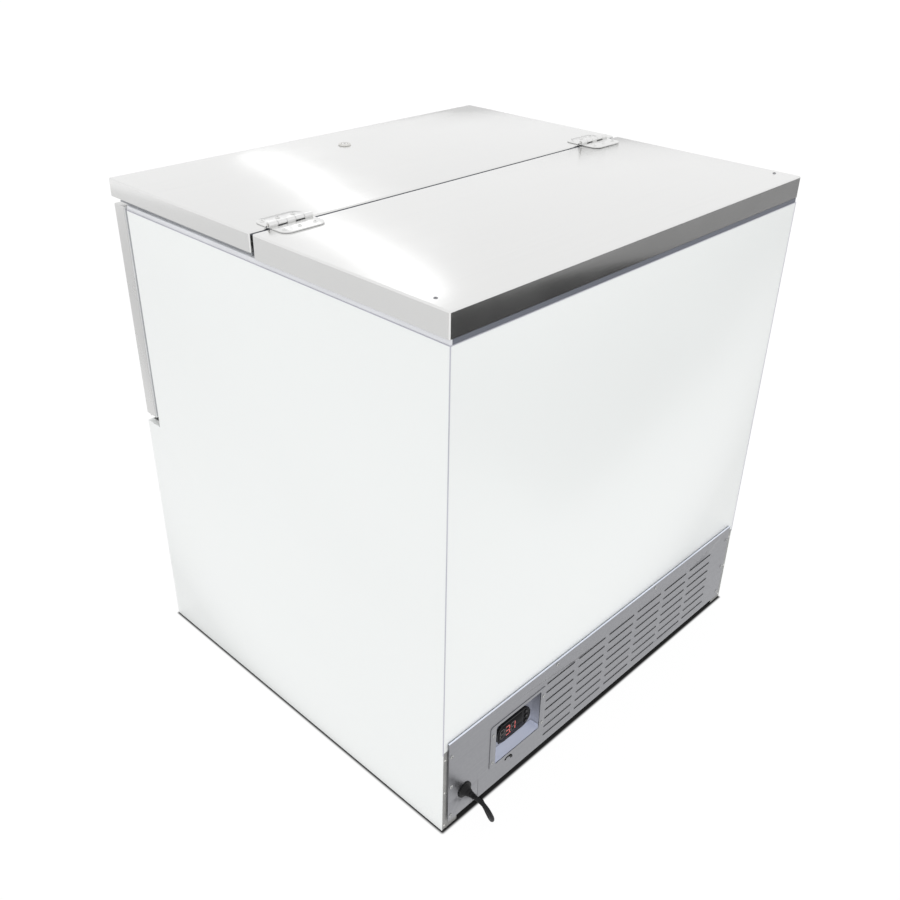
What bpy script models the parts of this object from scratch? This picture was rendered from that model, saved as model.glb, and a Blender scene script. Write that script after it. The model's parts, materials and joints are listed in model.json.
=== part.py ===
"""Drop-front chest cooler: cabinet, split lid, drop door, cooling unit and mains cord.

Metres, +Z up. The origin is on the floor under the middle of the machine. The drop door faces
-Y, the service grille faces +Y, and "right" is the +X side.
"""

import math

import bmesh
import bpy
from mathutils import Matrix, Vector

# Clearances and sheet thicknesses
GAP = 0.0003
SHEET = 0.001
FOAM_GAP = 0.0003

# Cabinet envelope
HALF_W = 0.435
FRONT_Y = -0.3905
REAR_Y = 0.3945
PANEL_BOTTOM = 0.003
PANEL_TOP = 0.880
RIM_TOP = 0.8887
SILL_Z = 0.470
NOTCH_Y = -0.3495

# Machine compartment, under the tank
BASE_LOW = 0.022
BASE_HIGH = 0.045
BASE_WALL = 0.0015
FOAM_LOW = 0.205
GRILLE_TOP = 0.1985
REAR_PANEL_LOW = 0.183

# Storage tank
TANK_LOW = Vector((-0.378, -0.318, 0.262))
TANK_HIGH = Vector((0.378, 0.335, 0.8797))
TUBE_SPACE = 0.012
MOUTH_X = 0.355
MOUTH_LOW = 0.520
THROAT_WALL = 0.002

DRAIN = Vector((-0.30, -0.24, 0.0))
DRAIN_HOLE_R = 0.0125

# Lid
LID_HALF_W = 0.4365
LID_FRONT_Y = -0.393
LID_REAR_Y = 0.394
LID_SPLIT = 0.004
LID_TOP = 0.926
FRONT_SKIRT = 0.896
REAR_SKIRT = 0.889
LID_LINER = 0.0015
LID_AXIS = Vector((0.0, 0.0, 0.9305))

# Lid hinges
LEAF_LOW = 0.9263
LEAF_HIGH = 0.9281
LEAF_OUT = 0.039
LEAF_IN = 0.0055
LEAF_TAB = 0.001
LEAF_CORNER = 0.015
LEAF_HALF = 0.040
LID_HINGE_X = 0.365
BARREL_R = 0.0043
BORE_R = 0.0022
PIN_R = 0.0018
KNUCKLE_GAP = 0.0004
LID_KNUCKLES = 5

# Drop door
DOOR_LOW = 0.486
DOOR_TOP = 0.884
DOOR_SHELL_Y = -0.3603
DOOR_LINER_Y = -0.3585
DOOR_PLUG_Y = -0.335
DOOR_AXIS = Vector((0.0, -0.395, 0.478))
DOOR_BARREL_R = 0.0045
DOOR_HINGE_X = 0.425
DOOR_KNUCKLES = 14
DOOR_LEAF_BACK = -0.364

# Lid lock
LOCK_X = 0.004
LOCK_Y = -0.300
LOCK_BORE = 0.0099
CAM_LOW = 0.8728
CAM_HIGH = 0.8752

# Service grille
GRILLE_X = (-0.4180, 0.4255)
GRILLE_LOW = 0.0185
GRILLE_FACE = 0.3985
GRILLE_SHEET = 0.0012
GRILLE_FLANGE_Y = 0.3948
SLOT_FIRST_X = 0.1424
SLOT_PITCH_X = 0.0905
SLOT_LENGTH = 0.0788
SLOT_COLUMNS = 6
SLOT_FIRST_Z = 0.0385
SLOT_PITCH_Z = 0.0206
SLOT_ROWS = 7
SLOT_HALF = 0.0016
FLAP_X = 0.354
FLAP_TOP = 0.0637
CORD_HOLE = Vector((0.3870, REAR_Y, 0.0675))
CORD_HOLE_R = 0.0135
NOTCH = Vector((0.2775, 0.0, 0.0495))
NOTCH_R = 0.0125
NOTCH_WIDE = 0.0055
NOTCH_START = 35
POST_X = 0.400
POST_TOP = 0.1825

# Controller, let into the grille
BEZEL_X = (0.184, 0.327)
BEZEL_Z = (0.0625, 0.1615)
BEZEL_FACE = 0.3995
BEZEL_FLANGE = 0.0007
BEZEL_SIDE = 0.0118
BEZEL_EDGE = 0.004
BEZEL_WALL = 0.002
SILL_FRONT = 0.0687
SILL_BACK = 0.0752
RECESS_BACK = 0.379
DISPLAY = Vector((0.2515, 0.0, 0.1055))
DISPLAY_HALF = (0.0448, 0.0208)
CASE_HALF = (0.0355, 0.0145)
KEY_R = 0.0042
KEY_X = (0.2196, 0.2186, 0.2196)
KEY_DROP = 0.0115
KEY_TRAVEL = 0.0006
CASE_FACE = 0.005
CASE_DEPTH = 0.045

# Cooling unit
FAN = Vector((0.030, 0.300, 0.110))
FAN_R = 0.073
FAN_BLADES = 5
COMPRESSOR = Vector((-0.250, 0.100, 0.0348))
CONDENSER_PASSES = 8
EVAPORATOR_TURNS = 5

# Mains cord
CORD_R = 0.00375
COIL = Vector((0.2162, -0.465, 0.0))
COIL_INNER = 0.031
COIL_OUTER = 0.054
COIL_LINE = 0.052
COIL_HEIGHT = 0.0165
RELIEF_END = 0.4190
PLUG_R = 0.0125
PLUG_START = Vector((COIL.x - 0.0285, COIL.y - COIL_LINE, PLUG_R))
CORD_STEP = 0.019

FINISHES = {
    "white_steel": ((0.87, 0.88, 0.875), 0.35, 0.0),
    "brushed_steel": ((0.72, 0.72, 0.71), 0.30, 1.0),
    "grille_steel": ((0.33, 0.33, 0.345), 0.42, 0.9),
    "galvanised": ((0.45, 0.46, 0.46), 0.5, 0.9),
    "rim_plastic": ((0.66, 0.67, 0.69), 0.45, 0.0),
    "liner_plastic": ((0.85, 0.86, 0.86), 0.4, 0.0),
    "foam": ((0.85, 0.76, 0.50), 0.9, 0.0),
    "gasket": ((0.12, 0.12, 0.13), 0.6, 0.0),
    "black_plastic": ((0.03, 0.03, 0.03), 0.4, 0.0),
    "bezel_plastic": ((0.55, 0.60, 0.70), 0.45, 0.0),
    "black_rubber": ((0.02, 0.02, 0.02), 0.7, 0.0),
    "black_enamel": ((0.02, 0.02, 0.02), 0.35, 0.3),
    "copper": ((0.72, 0.38, 0.24), 0.35, 1.0),
    "zinc": ((0.70, 0.70, 0.68), 0.35, 1.0),
}


def clear_scene():
    for obj in list(bpy.data.objects):
        bpy.data.objects.remove(obj, do_unlink=True)


def finish(name):
    """The Principled material of this name, made once."""
    found = bpy.data.materials.get(name)
    if found:
        return found
    colour, roughness, metallic = FINISHES[name]
    made = bpy.data.materials.new(name)
    made.use_nodes = True
    shader = made.node_tree.nodes["Principled BSDF"]
    shader.inputs["Base Color"].default_value = (*colour, 1.0)
    shader.inputs["Roughness"].default_value = roughness
    shader.inputs["Metallic"].default_value = metallic
    return made


def pivot(name, place):
    """An empty on a joint's axis, for the pieces that turn with it."""
    empty = bpy.data.objects.new(name, None)
    empty.location = place
    bpy.context.scene.collection.objects.link(empty)
    return empty


def add_object(name, data, coat, origin, parent):
    """Links the object with its origin at a point of its own, riding on its pivot if it has one."""
    data.transform(Matrix.Translation(-Vector(origin)))
    data.materials.append(finish(coat))
    obj = bpy.data.objects.new(name, data)
    bpy.context.scene.collection.objects.link(obj)
    if parent:
        obj.parent = parent
        obj.location = Vector(origin) - parent.location
    else:
        obj.location = origin
    return obj


def from_bmesh(name, bm, coat, parent=None, origin=None):
    bmesh.ops.recalc_face_normals(bm, faces=bm.faces[:])
    low = Vector([min(v.co[i] for v in bm.verts) for i in range(3)])
    high = Vector([max(v.co[i] for v in bm.verts) for i in range(3)])
    mesh = bpy.data.meshes.new(name)
    bm.to_mesh(mesh)
    bm.free()
    if origin is None:
        origin = parent.location if parent else (low + high) / 2
    return add_object(name, mesh, coat, origin, parent)


def add_box(bm, low, high):
    low, high = Vector(low), Vector(high)
    middle, size = (low + high) / 2, high - low
    shape = Matrix.Translation(middle) @ Matrix.Diagonal((*size, 1.0))
    return bmesh.ops.create_cube(bm, size=1.0, matrix=shape)["verts"]


def block(name, low, high, coat, parent=None):
    bm = bmesh.new()
    add_box(bm, low, high)
    return from_bmesh(name, bm, coat, parent)


def tray(name, low, high, wall, opening, coat, parent=None):
    """A folded sheet box that is open on one side, given as a direction."""
    bm = bmesh.new()
    add_box(bm, low, high)
    bm.normal_update()
    lid = [face for face in bm.faces if face.normal.dot(Vector(opening)) > 0.9]
    bmesh.ops.delete(bm, geom=lid, context="FACES_ONLY")
    mesh = bpy.data.meshes.new(name)
    bm.to_mesh(mesh)
    bm.free()
    origin = parent.location if parent else (Vector(low) + Vector(high)) / 2
    obj = add_object(name, mesh, coat, origin, parent)
    fold = obj.modifiers.new("wall", "SOLIDIFY")
    fold.thickness = wall
    fold.offset = -1.0
    fold.use_even_offset = True
    return obj


def extrusion(name, loops, axis, low, high, coat, parent=None):
    """A flat outline, and any holes in it, pushed along an axis from low to high."""
    across = [i for i in range(3) if i != axis]
    bm = bmesh.new()
    edges = []
    for loop in loops:
        corners = []
        for point in loop:
            place = [low, low, low]
            place[across[0]], place[across[1]] = point
            corners.append(bm.verts.new(place))
        edges += [bm.edges.new(pair) for pair in zip(corners, corners[1:] + corners[:1])]
    bmesh.ops.triangle_fill(bm, use_beauty=True, use_dissolve=False, edges=edges)
    pushed = bmesh.ops.extrude_face_region(bm, geom=bm.faces[:])["geom"]
    moved = [item for item in pushed if isinstance(item, bmesh.types.BMVert)]
    way = Vector((0.0, 0.0, 0.0))
    way[axis] = high - low
    bmesh.ops.translate(bm, vec=way, verts=moved)
    return from_bmesh(name, bm, coat, parent)


def add_lathe(bm, profile, place, axis, steps, ring=False):
    """Turns (radius, height) points round an axis; a ring's profile closes on itself."""
    turn = Vector((0, 0, 1)).rotation_difference(Vector(axis)).to_matrix().to_4x4()
    frame = Matrix.Translation(Vector(place)) @ turn
    rows = []
    for radius, height in profile:
        if radius < 1e-7:
            rows.append([bm.verts.new(frame @ Vector((0, 0, height)))] * steps)
            continue
        row = []
        for i in range(steps):
            angle = 2 * math.pi * (i + 0.5) / steps
            spot = Vector((radius * math.cos(angle), radius * math.sin(angle), height))
            row.append(bm.verts.new(frame @ spot))
        rows.append(row)
    for row, above in zip(rows, rows[1:] + (rows[:1] if ring else [])):
        for i in range(steps):
            j = (i + 1) % steps
            corners = list(dict.fromkeys((row[i], row[j], above[j], above[i])))
            if len(corners) > 2:
                bm.faces.new(corners)


def turned(name, profile, place, axis, coat, steps=20, ring=False, parent=None):
    bm = bmesh.new()
    add_lathe(bm, profile, place, axis, steps, ring)
    return from_bmesh(name, bm, coat, parent, None if parent else Vector(place))


def helper(obj):
    obj.hide_render = True
    obj.display_type = "WIRE"
    return obj


def combine(obj, other, operation):
    """Adds or cuts away a helper's shape."""
    change = obj.modifiers.new(other.name, "BOOLEAN")
    change.operation = operation
    change.solver = "EXACT"
    change.object = helper(other)


def rod(name, start, end, radius, steps=12):
    """A plain round bar between two points, used as a cutter or joined to a piece."""
    start, end = Vector(start), Vector(end)
    length = (end - start).length
    profile = [(0, 0), (radius, 0), (radius, length), (0, length)]
    return turned(name, profile, start, end - start, "zinc", steps)


def tube(name, points, radius, coat, resolution=2):
    """A round pipe or cord along a list of points, with closed ends."""
    curve = bpy.data.curves.new(name, "CURVE")
    curve.dimensions = "3D"
    curve.bevel_depth = radius
    curve.bevel_resolution = resolution
    curve.use_fill_caps = True
    line = curve.splines.new("POLY")
    line.points.add(len(points) - 1)
    for spot, point in zip(line.points, points):
        spot.co = (*point, 1.0)
    return add_object(name, curve, coat, Vector(points[0]), None)


def arc(centre, radius, start, end, count):
    """Points on a circle between two angles in degrees, both ends included."""
    angles = [math.radians(start + (end - start) * i / (count - 1)) for i in range(count)]
    return [(centre[0] + radius * math.cos(a), centre[1] + radius * math.sin(a)) for a in angles]


def catmull(a, b, c, d, t):
    return 0.5 * (
        2 * b + (c - a) * t + (2 * a - 5 * b + 4 * c - d) * t**2 + (3 * b - a - 3 * c + d) * t**3
    )


def smooth_through(route, step):
    """Even points, a step apart, on one smooth curve through the route's own points."""
    knots = [Vector(point) for point in route]
    knots = [2 * knots[0] - knots[1], *knots, 2 * knots[-1] - knots[-2]]
    fine = []
    for a, b, c, d in zip(knots, knots[1:], knots[2:], knots[3:]):
        fine += [catmull(a, b, c, d, i / 24) for i in range(24)]
    fine.append(knots[-2])
    along = [0.0]
    for a, b in zip(fine, fine[1:]):
        along.append(along[-1] + (b - a).length)
    count = max(2, round(along[-1] / step))
    points, k = [], 0
    for i in range(count + 1):
        goal = along[-1] * i / count
        while k < len(fine) - 2 and along[k + 1] < goal:
            k += 1
        share = (goal - along[k]) / (along[k + 1] - along[k])
        points.append(fine[k].lerp(fine[k + 1], share))
    return points


def side_panel(name, side):
    """White sheet side, notched for the drop door."""
    outline = [
        (FRONT_Y, PANEL_BOTTOM),
        (REAR_Y, PANEL_BOTTOM),
        (REAR_Y, PANEL_TOP),
        (NOTCH_Y, PANEL_TOP),
        (NOTCH_Y, SILL_Z),
        (FRONT_Y, SILL_Z),
    ]
    inner, outer = sorted((side * (HALF_W - SHEET), side * HALF_W))
    extrusion(name, [outline], 0, inner, outer, "white_steel")


def rear_panel():
    across = HALF_W - SHEET - GAP
    block(
        "rear_panel",
        (-across, REAR_Y - SHEET, REAR_PANEL_LOW),
        (across, REAR_Y, PANEL_TOP),
        "white_steel",
    )


def front_lower_panel():
    """The fixed front under the drop door, folded back over the sill."""
    inner = FRONT_Y + SHEET
    outline = [
        (FRONT_Y, GRILLE_LOW),
        (inner, GRILLE_LOW),
        (inner, SILL_Z - SHEET),
        (NOTCH_Y - GAP, SILL_Z - SHEET),
        (NOTCH_Y - GAP, SILL_Z),
        (FRONT_Y, SILL_Z),
    ]
    across = HALF_W - SHEET - GAP
    extrusion("front_lower_panel", [outline], 0, -across, across, "white_steel")


def base_pan():
    across = HALF_W - SHEET - GAP
    low = (-across, FRONT_Y + SHEET + GAP, BASE_LOW)
    high = (across, REAR_Y - 0.0065, BASE_HIGH)
    tray("base_pan", low, high, BASE_WALL, (0, 0, 1), "galvanised")


def rear_post(name, side):
    """Galvanised corner strip beside the grille."""
    edges = sorted((side * POST_X, side * (HALF_W - SHEET - GAP)))
    face = REAR_Y - GAP
    low, high = (edges[0], face - 1.5 * SHEET, PANEL_BOTTOM), (edges[1], face, POST_TOP)
    block(name, low, high, "galvanised")


def feet():
    profile = [(0, 0), (0.018, 0), (0.018, 0.006), (0.012, 0.010), (0.006, 0.012)]
    profile += [(0.006, BASE_LOW - GAP), (0, BASE_LOW - GAP)]
    for name, x, y in (
        ("foot_front_left", -0.395, -0.350),
        ("foot_front_right", 0.395, -0.350),
        ("foot_rear_left", -0.395, 0.345),
        ("foot_rear_right", 0.395, 0.345),
    ):
        turned(name, profile, (x, y, 0), (0, 0, 1), "black_rubber", 16)


def drain_cutter(name):
    """A bar through the floor of the tank and the insulation under it."""
    start = Vector((DRAIN.x, DRAIN.y, FOAM_LOW - 0.015))
    end = Vector((DRAIN.x, DRAIN.y, TANK_LOW.z + 0.018))
    return rod(name, start, end, DRAIN_HOLE_R)


def storage_tank():
    """Sheet tank, open on top, with the front cut down behind the drop door."""
    tank = tray("storage_tank", TANK_LOW, TANK_HIGH, SHEET, (0, 0, 1), "brushed_steel")
    mouth = block(
        "tank_mouth",
        (-MOUTH_X, TANK_LOW.y - 0.01, MOUTH_LOW),
        (MOUTH_X, TANK_LOW.y + 0.01, PANEL_TOP + 0.02),
        "brushed_steel",
    )
    combine(tank, mouth, "DIFFERENCE")
    combine(tank, drain_cutter("tank_drain_hole"), "DIFFERENCE")


def cabinet_foam():
    """Insulation between the outer panels and the tank."""
    inner_front = FRONT_Y + SHEET + FOAM_GAP
    behind_frame = NOTCH_Y + SHEET + FOAM_GAP
    back = REAR_Y - SHEET - FOAM_GAP
    top = PANEL_TOP - FOAM_GAP
    sill = SILL_Z - SHEET - FOAM_GAP
    outline = [
        (inner_front, FOAM_LOW),
        (back, FOAM_LOW),
        (back, top),
        (behind_frame, top),
        (behind_frame, sill),
        (inner_front, sill),
    ]
    across = HALF_W - SHEET - FOAM_GAP
    foam = extrusion("cabinet_foam", [outline], 0, -across, across, "foam")
    room = Vector((TUBE_SPACE, TUBE_SPACE, TUBE_SPACE))
    hollow_high = TANK_HIGH + Vector((TUBE_SPACE, TUBE_SPACE, 0.05))
    combine(foam, block("foam_hollow", TANK_LOW - room, hollow_high, "foam"), "DIFFERENCE")
    mouth = block(
        "foam_mouth",
        (-MOUTH_X, behind_frame - 0.01, MOUTH_LOW),
        (MOUTH_X, TANK_LOW.y, PANEL_TOP + 0.02),
        "foam",
    )
    combine(foam, mouth, "DIFFERENCE")
    combine(foam, drain_cutter("foam_drain_hole"), "DIFFERENCE")


def front_frame():
    """The face that the drop door's gasket meets, with a throat back to the tank."""
    across = HALF_W - SHEET - GAP
    low, top = SILL_Z + GAP, PANEL_TOP - GAP
    inside = MOUTH_X - GAP - THROAT_WALL
    ledge = MOUTH_LOW + GAP + THROAT_WALL
    face = [(-across, top), (-across, low), (across, low), (across, top)]
    face += [(inside, top), (inside, ledge), (-inside, ledge), (-inside, top)]
    frame = extrusion("front_frame", [face], 1, NOTCH_Y, NOTCH_Y + SHEET, "liner_plastic")
    outside, floor = MOUTH_X - GAP, MOUTH_LOW + GAP
    throat = [(-outside, top), (-outside, floor), (outside, floor), (outside, top)]
    throat += [(inside, top), (inside, ledge), (-inside, ledge), (-inside, top)]
    front, back = NOTCH_Y + SHEET / 2, TANK_LOW.y - GAP
    combine(frame, extrusion("throat", [throat], 1, front, back, "liner_plastic"), "UNION")


def top_rim():
    """Grey trim on top of the walls, open towards the drop door."""
    outer, back = 0.4345, 0.394
    inner, inner_back = 0.374, 0.331
    outline = [(-outer, NOTCH_Y), (-outer, back), (outer, back), (outer, NOTCH_Y)]
    outline += [(inner, NOTCH_Y), (inner, inner_back), (-inner, inner_back), (-inner, NOTCH_Y)]
    extrusion("top_rim", [outline], 2, PANEL_TOP + GAP, RIM_TOP, "rim_plastic")


def cross_rail():
    """Bar under the lid split, on which the lifting lid's rear gasket closes."""
    block("cross_rail", (-0.3735, -0.022, 0.858), (0.3735, 0.022, RIM_TOP), "brushed_steel")


def slot_outline(x, z):
    """A narrow slot with round ends."""
    half = SLOT_LENGTH / 2 - SLOT_HALF
    return arc((x + half, z), SLOT_HALF, -90, 90, 4) + arc((x - half, z), SLOT_HALF, 90, 270, 4)


def half_moon(x, z, radius, thickness):
    """The curved notch cut in the grille under the controller."""
    outer = arc((x, z), radius, NOTCH_START, 180, 9)
    return outer + arc((x, z), radius - thickness, 180, NOTCH_START, 9)


def grille_panel():
    """Steel service panel with slots, controller window, cord hole and a folded edge."""
    left, right = GRILLE_X
    outline = [
        (left, GRILLE_LOW),
        (FLAP_X - GAP, GRILLE_LOW),
        (FLAP_X - GAP, FLAP_TOP + GAP),
        (right, FLAP_TOP + GAP),
        (right, GRILLE_TOP),
        (left, GRILLE_TOP),
    ]
    slots = [
        slot_outline(SLOT_FIRST_X - column * SLOT_PITCH_X, SLOT_FIRST_Z + row * SLOT_PITCH_Z)
        for column in range(SLOT_COLUMNS)
        for row in range(SLOT_ROWS)
    ]
    side, edge = BEZEL_SIDE - GAP, BEZEL_EDGE - GAP
    window = [
        (BEZEL_X[0] + side, BEZEL_Z[0] + edge),
        (BEZEL_X[1] - side, BEZEL_Z[0] + edge),
        (BEZEL_X[1] - side, BEZEL_Z[1] - edge),
        (BEZEL_X[0] + side, BEZEL_Z[1] - edge),
    ]
    notch = half_moon(NOTCH.x, NOTCH.z, NOTCH_R, NOTCH_WIDE)
    back = GRILLE_FACE - GRILLE_SHEET
    loops = [outline, window, notch, *slots]
    panel = extrusion("grille_panel", loops, 1, back, GRILLE_FACE, "grille_steel")
    fold = [(left, GRILLE_LOW), (left, GRILLE_TOP), (right, GRILLE_TOP), (right, FLAP_TOP + GAP)]
    wall = GRILLE_SHEET
    fold += [(right - wall, FLAP_TOP + GAP), (right - wall, GRILLE_TOP - wall)]
    fold += [(left + wall, GRILLE_TOP - wall), (left + wall, GRILLE_LOW)]
    rim = extrusion("grille_fold", [fold], 1, GRILLE_FLANGE_Y, GRILLE_FACE - wall / 2, "zinc")
    combine(panel, rim, "UNION")
    combine(panel, cord_hole_cutter("grille_cord_hole"), "DIFFERENCE")


def cord_hole_cutter(name):
    start = CORD_HOLE.copy()
    start.y = GRILLE_FLANGE_Y - 0.005
    end = CORD_HOLE.copy()
    end.y = GRILLE_FACE + 0.005
    return rod(name, start, end, CORD_HOLE_R, 20)


def cord_cover():
    """The loose corner of the grille that closes round the cord."""
    low = (FLAP_X, GRILLE_FACE - GRILLE_SHEET, GRILLE_LOW + 0.0015)
    high = (GRILLE_X[1], GRILLE_FACE, FLAP_TOP)
    cover = block("cord_cover", low, high, "grille_steel")
    combine(cover, cord_hole_cutter("cover_cord_hole"), "DIFFERENCE")


def stadium(centre, half_width, half_height, count=8):
    """An oblong with half-round ends, in X and Z."""
    x = half_width - half_height
    right = arc((centre.x + x, centre.z), half_height, -90, 90, count)
    return right + arc((centre.x - x, centre.z), half_height, 90, 270, count)


def rectangle(centre, half_width, half_height):
    x, z = centre.x, centre.z
    return [
        (x - half_width, z - half_height),
        (x + half_width, z - half_height),
        (x + half_width, z + half_height),
        (x - half_width, z + half_height),
    ]


def controller_bezel():
    """Moulded recess round the controller, with a sloping sill."""
    x_low, x_high = BEZEL_X[0] + BEZEL_SIDE, BEZEL_X[1] - BEZEL_SIDE
    z_low, z_high = BEZEL_Z[0] + BEZEL_EDGE, BEZEL_Z[1] - BEZEL_EDGE
    body_high = (x_high, BEZEL_FACE - BEZEL_FLANGE / 2, z_high)
    bezel = block("controller_bezel", (x_low, RECESS_BACK, z_low), body_high, "bezel_plastic")
    flange_low = (BEZEL_X[0], BEZEL_FACE - BEZEL_FLANGE, BEZEL_Z[0])
    flange_high = (BEZEL_X[1], BEZEL_FACE, BEZEL_Z[1])
    combine(bezel, block("bezel_flange", flange_low, flange_high, "bezel_plastic"), "UNION")
    back, front = RECESS_BACK + BEZEL_WALL, BEZEL_FACE + 0.002
    ceiling = z_high - BEZEL_WALL
    profile = [(back, SILL_BACK), (front, SILL_FRONT), (front, ceiling), (back, ceiling)]
    inside = (x_low + BEZEL_WALL, x_high - BEZEL_WALL)
    combine(bezel, extrusion("bezel_hollow", [profile], 0, *inside, "bezel_plastic"), "DIFFERENCE")
    cut = rectangle(DISPLAY, CASE_HALF[0] + 2 * GAP, CASE_HALF[1] + 2 * GAP)
    ends = (RECESS_BACK - BEZEL_WALL, back + BEZEL_WALL)
    combine(bezel, extrusion("case_hole", [cut], 1, *ends, "bezel_plastic"), "DIFFERENCE")


def controller_case():
    """Electronic thermostat: oblong face in the recess, and its case behind it."""
    back = RECESS_BACK + BEZEL_WALL
    face = stadium(DISPLAY, *DISPLAY_HALF)
    case = extrusion("controller_case", [face], 1, back + GAP, back + CASE_FACE, "black_plastic")
    box = rectangle(DISPLAY, *CASE_HALF)
    ends = (RECESS_BACK - CASE_DEPTH, back + CASE_FACE / 4)
    combine(case, extrusion("case_box", [box], 1, *ends, "black_plastic"), "UNION")
    for i, x in enumerate(KEY_X):
        z = DISPLAY.z + (1 - i) * KEY_DROP
        start, end = (x, back + CASE_FACE / 2, z), (x, back + 2 * CASE_FACE, z)
        combine(case, rod(f"key_well_{i}", start, end, KEY_R + 2 * GAP, 12), "DIFFERENCE")


def controller_keys():
    """Three push keys at the display's side."""
    foot = RECESS_BACK + BEZEL_WALL + CASE_FACE / 2 + KEY_TRAVEL + 2 * GAP
    for i, (name, x) in enumerate(zip(("key_up", "key_set", "key_down"), KEY_X)):
        centre = Vector((x, foot, DISPLAY.z + (1 - i) * KEY_DROP))
        profile = [(0, 0), (KEY_R, 0), (KEY_R, 0.0022), (KEY_R - 0.0006, 0.0028), (0, 0.0028)]
        turned(name, profile, centre, (0, 1, 0), "black_rubber", 12)


def strain_relief():
    """Black bush in the cord hole, tapering to the cord."""
    y = CORD_HOLE.y
    profile = [
        (0, 0.3930 - y),
        (0.0130, 0.3930 - y),
        (0.0130, 0.3990 - y),
        (0.0150, 0.3990 - y),
        (0.0150, 0.4005 - y),
        (0.0088, 0.4015 - y),
        (0.0052, RELIEF_END - y),
        (0, RELIEF_END - y),
    ]
    turned("strain_relief", profile, CORD_HOLE, (0, 1, 0), "black_rubber", 20)


# The cord's own way: out of the bush, down to the floor, under the machine to its front
CORD_ROUTE = [
    (0.3870, 0.4201, 0.0675),
    (0.3870, 0.4295, 0.0675),
    (0.3861, 0.4392, 0.0647),
    (0.3840, 0.4470, 0.0570),
    (0.3806, 0.4512, 0.0455),
    (0.3757, 0.4512, 0.0322),
    (0.3700, 0.4470, 0.0195),
    (0.3637, 0.4385, 0.0100),
    (0.3567, 0.4265, 0.0051),
    (0.3490, 0.4110, 0.0039),
    (0.3380, 0.3830, 0.0039),
    (0.3240, 0.3300, 0.0039),
    (0.3060, 0.2200, 0.0039),
    (0.2900, 0.0900, 0.0039),
    (0.2800, -0.0500, 0.0039),
    (0.2730, -0.1900, 0.0039),
    (0.2680, -0.3200, 0.0039),
    (0.2663, -0.3950, 0.0039),
    (0.2663, -0.4370, 0.0039),
]


def power_cord():
    tube("power_cord", smooth_through(CORD_ROUTE, CORD_STEP), CORD_R, "black_rubber")


def cord_coil():
    """The spare cord, wound into a ring on the floor."""
    profile = [
        (COIL_INNER, 0.0),
        (COIL_OUTER, 0.0),
        (COIL_OUTER, COIL_HEIGHT),
        (COIL_INNER, COIL_HEIGHT),
    ]
    turned("cord_coil", profile, COIL, (0, 0, 1), "black_rubber", 28, ring=True)


def plug():
    """Moulded plug lying beside the coil, with two flat blades and a round earth pin."""
    tail, body, face = 0.012, 0.018, 0.048
    profile = [(0, 0), (0.0045, 0), (0.0068, tail), (PLUG_R, body), (PLUG_R, face), (0, face)]
    grip = turned("plug", profile, PLUG_START, (-1, 0, 0), "black_rubber", 20)
    bm = bmesh.new()
    for y in (-0.0064, 0.0064):
        low = PLUG_START + Vector((-face - 0.0160, y - 0.00075, 0.0005))
        add_box(bm, low, low + Vector((0.0200, 0.0015, 0.0062)))
    earth = PLUG_START + Vector((-face + 0.004, 0, -0.0062))
    pin = [(0, 0), (0.0024, 0), (0.0024, 0.022), (0.0012, 0.024), (0, 0.024)]
    add_lathe(bm, pin, earth, (-1, 0, 0), 10)
    combine(grip, from_bmesh("plug_pins", bm, "zinc"), "UNION")


def compressor():
    profile = [
        (0, 0),
        (0.066, 0),
        (0.078, 0.012),
        (0.080, 0.074),
        (0.086, 0.077),
        (0.086, 0.083),
        (0.080, 0.086),
        (0.074, 0.132),
        (0.046, 0.156),
        (0, 0.162),
    ]
    turned("compressor", profile, COMPRESSOR, (0, 0, 1), "black_enamel", 28)
    x, y = COMPRESSOR.x, COMPRESSOR.y
    low, high = BASE_LOW + BASE_WALL + GAP, COMPRESSOR.z - GAP
    half, wall = 0.060, 0.002
    channel = [(y - half, low), (y - half, high), (y + half, high), (y + half, low)]
    channel += [(y + half - wall, low), (y + half - wall, high - wall)]
    channel += [(y - half + wall, high - wall), (y - half + wall, low)]
    extrusion("compressor_bracket", [channel], 0, x - 0.110, x + 0.110, "galvanised")


def condenser_coil():
    """Flat serpentine of tube in front of the fan."""
    x_low, x_high, z_low, pitch = -0.110, 0.170, 0.040, 0.019
    points = []
    for i in range(CONDENSER_PASSES):
        z = z_low + i * pitch
        ends = (x_low, x_high) if i % 2 == 0 else (x_high, x_low)
        points.append((ends[0], z))
        if i == CONDENSER_PASSES - 1:
            points.append((ends[1], z))
            continue
        turn = (-90, 90) if i % 2 == 0 else (270, 90)
        points += arc((ends[1], z + pitch / 2), pitch / 2, *turn, 6)[:-1]
    tube("condenser_coil", [(x, 0.355, z) for x, z in points], 0.0045, "copper")


def fan_unit():
    """Shroud, motor and the five-bladed fan on its shaft."""
    low = BASE_LOW + BASE_WALL + GAP
    plate = [(-0.130, low), (0.190, low), (0.190, 0.198), (-0.130, 0.198)]
    hole = arc((FAN.x, FAN.z), FAN_R + 0.005, 0, 345, 24)
    extrusion("fan_shroud", [plate, hole], 1, 0.300, 0.3015, "galvanised")
    motor = [(0, -0.090), (0.028, -0.090), (0.034, -0.084), (0.034, -0.024), (0.028, -0.018)]
    motor += [(0.004, -0.018), (0.004, 0.006), (0, 0.006)]
    turned("fan_motor", motor, FAN, (0, 1, 0), "black_enamel", 20)
    hub = [(0.0043, -0.014), (0.017, -0.014), (0.017, 0.010), (0.0043, 0.010)]
    blade_pivot = pivot("fan_axis", FAN)
    fan = turned("fan_blade", hub, FAN, (0, 1, 0), "black_plastic", 20, True, blade_pivot)
    bm = bmesh.new()
    for i in range(FAN_BLADES):
        add_blade(bm, 2 * math.pi * i / FAN_BLADES)
    combine(fan, from_bmesh("fan_blades", bm, "black_plastic"), "UNION")


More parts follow.
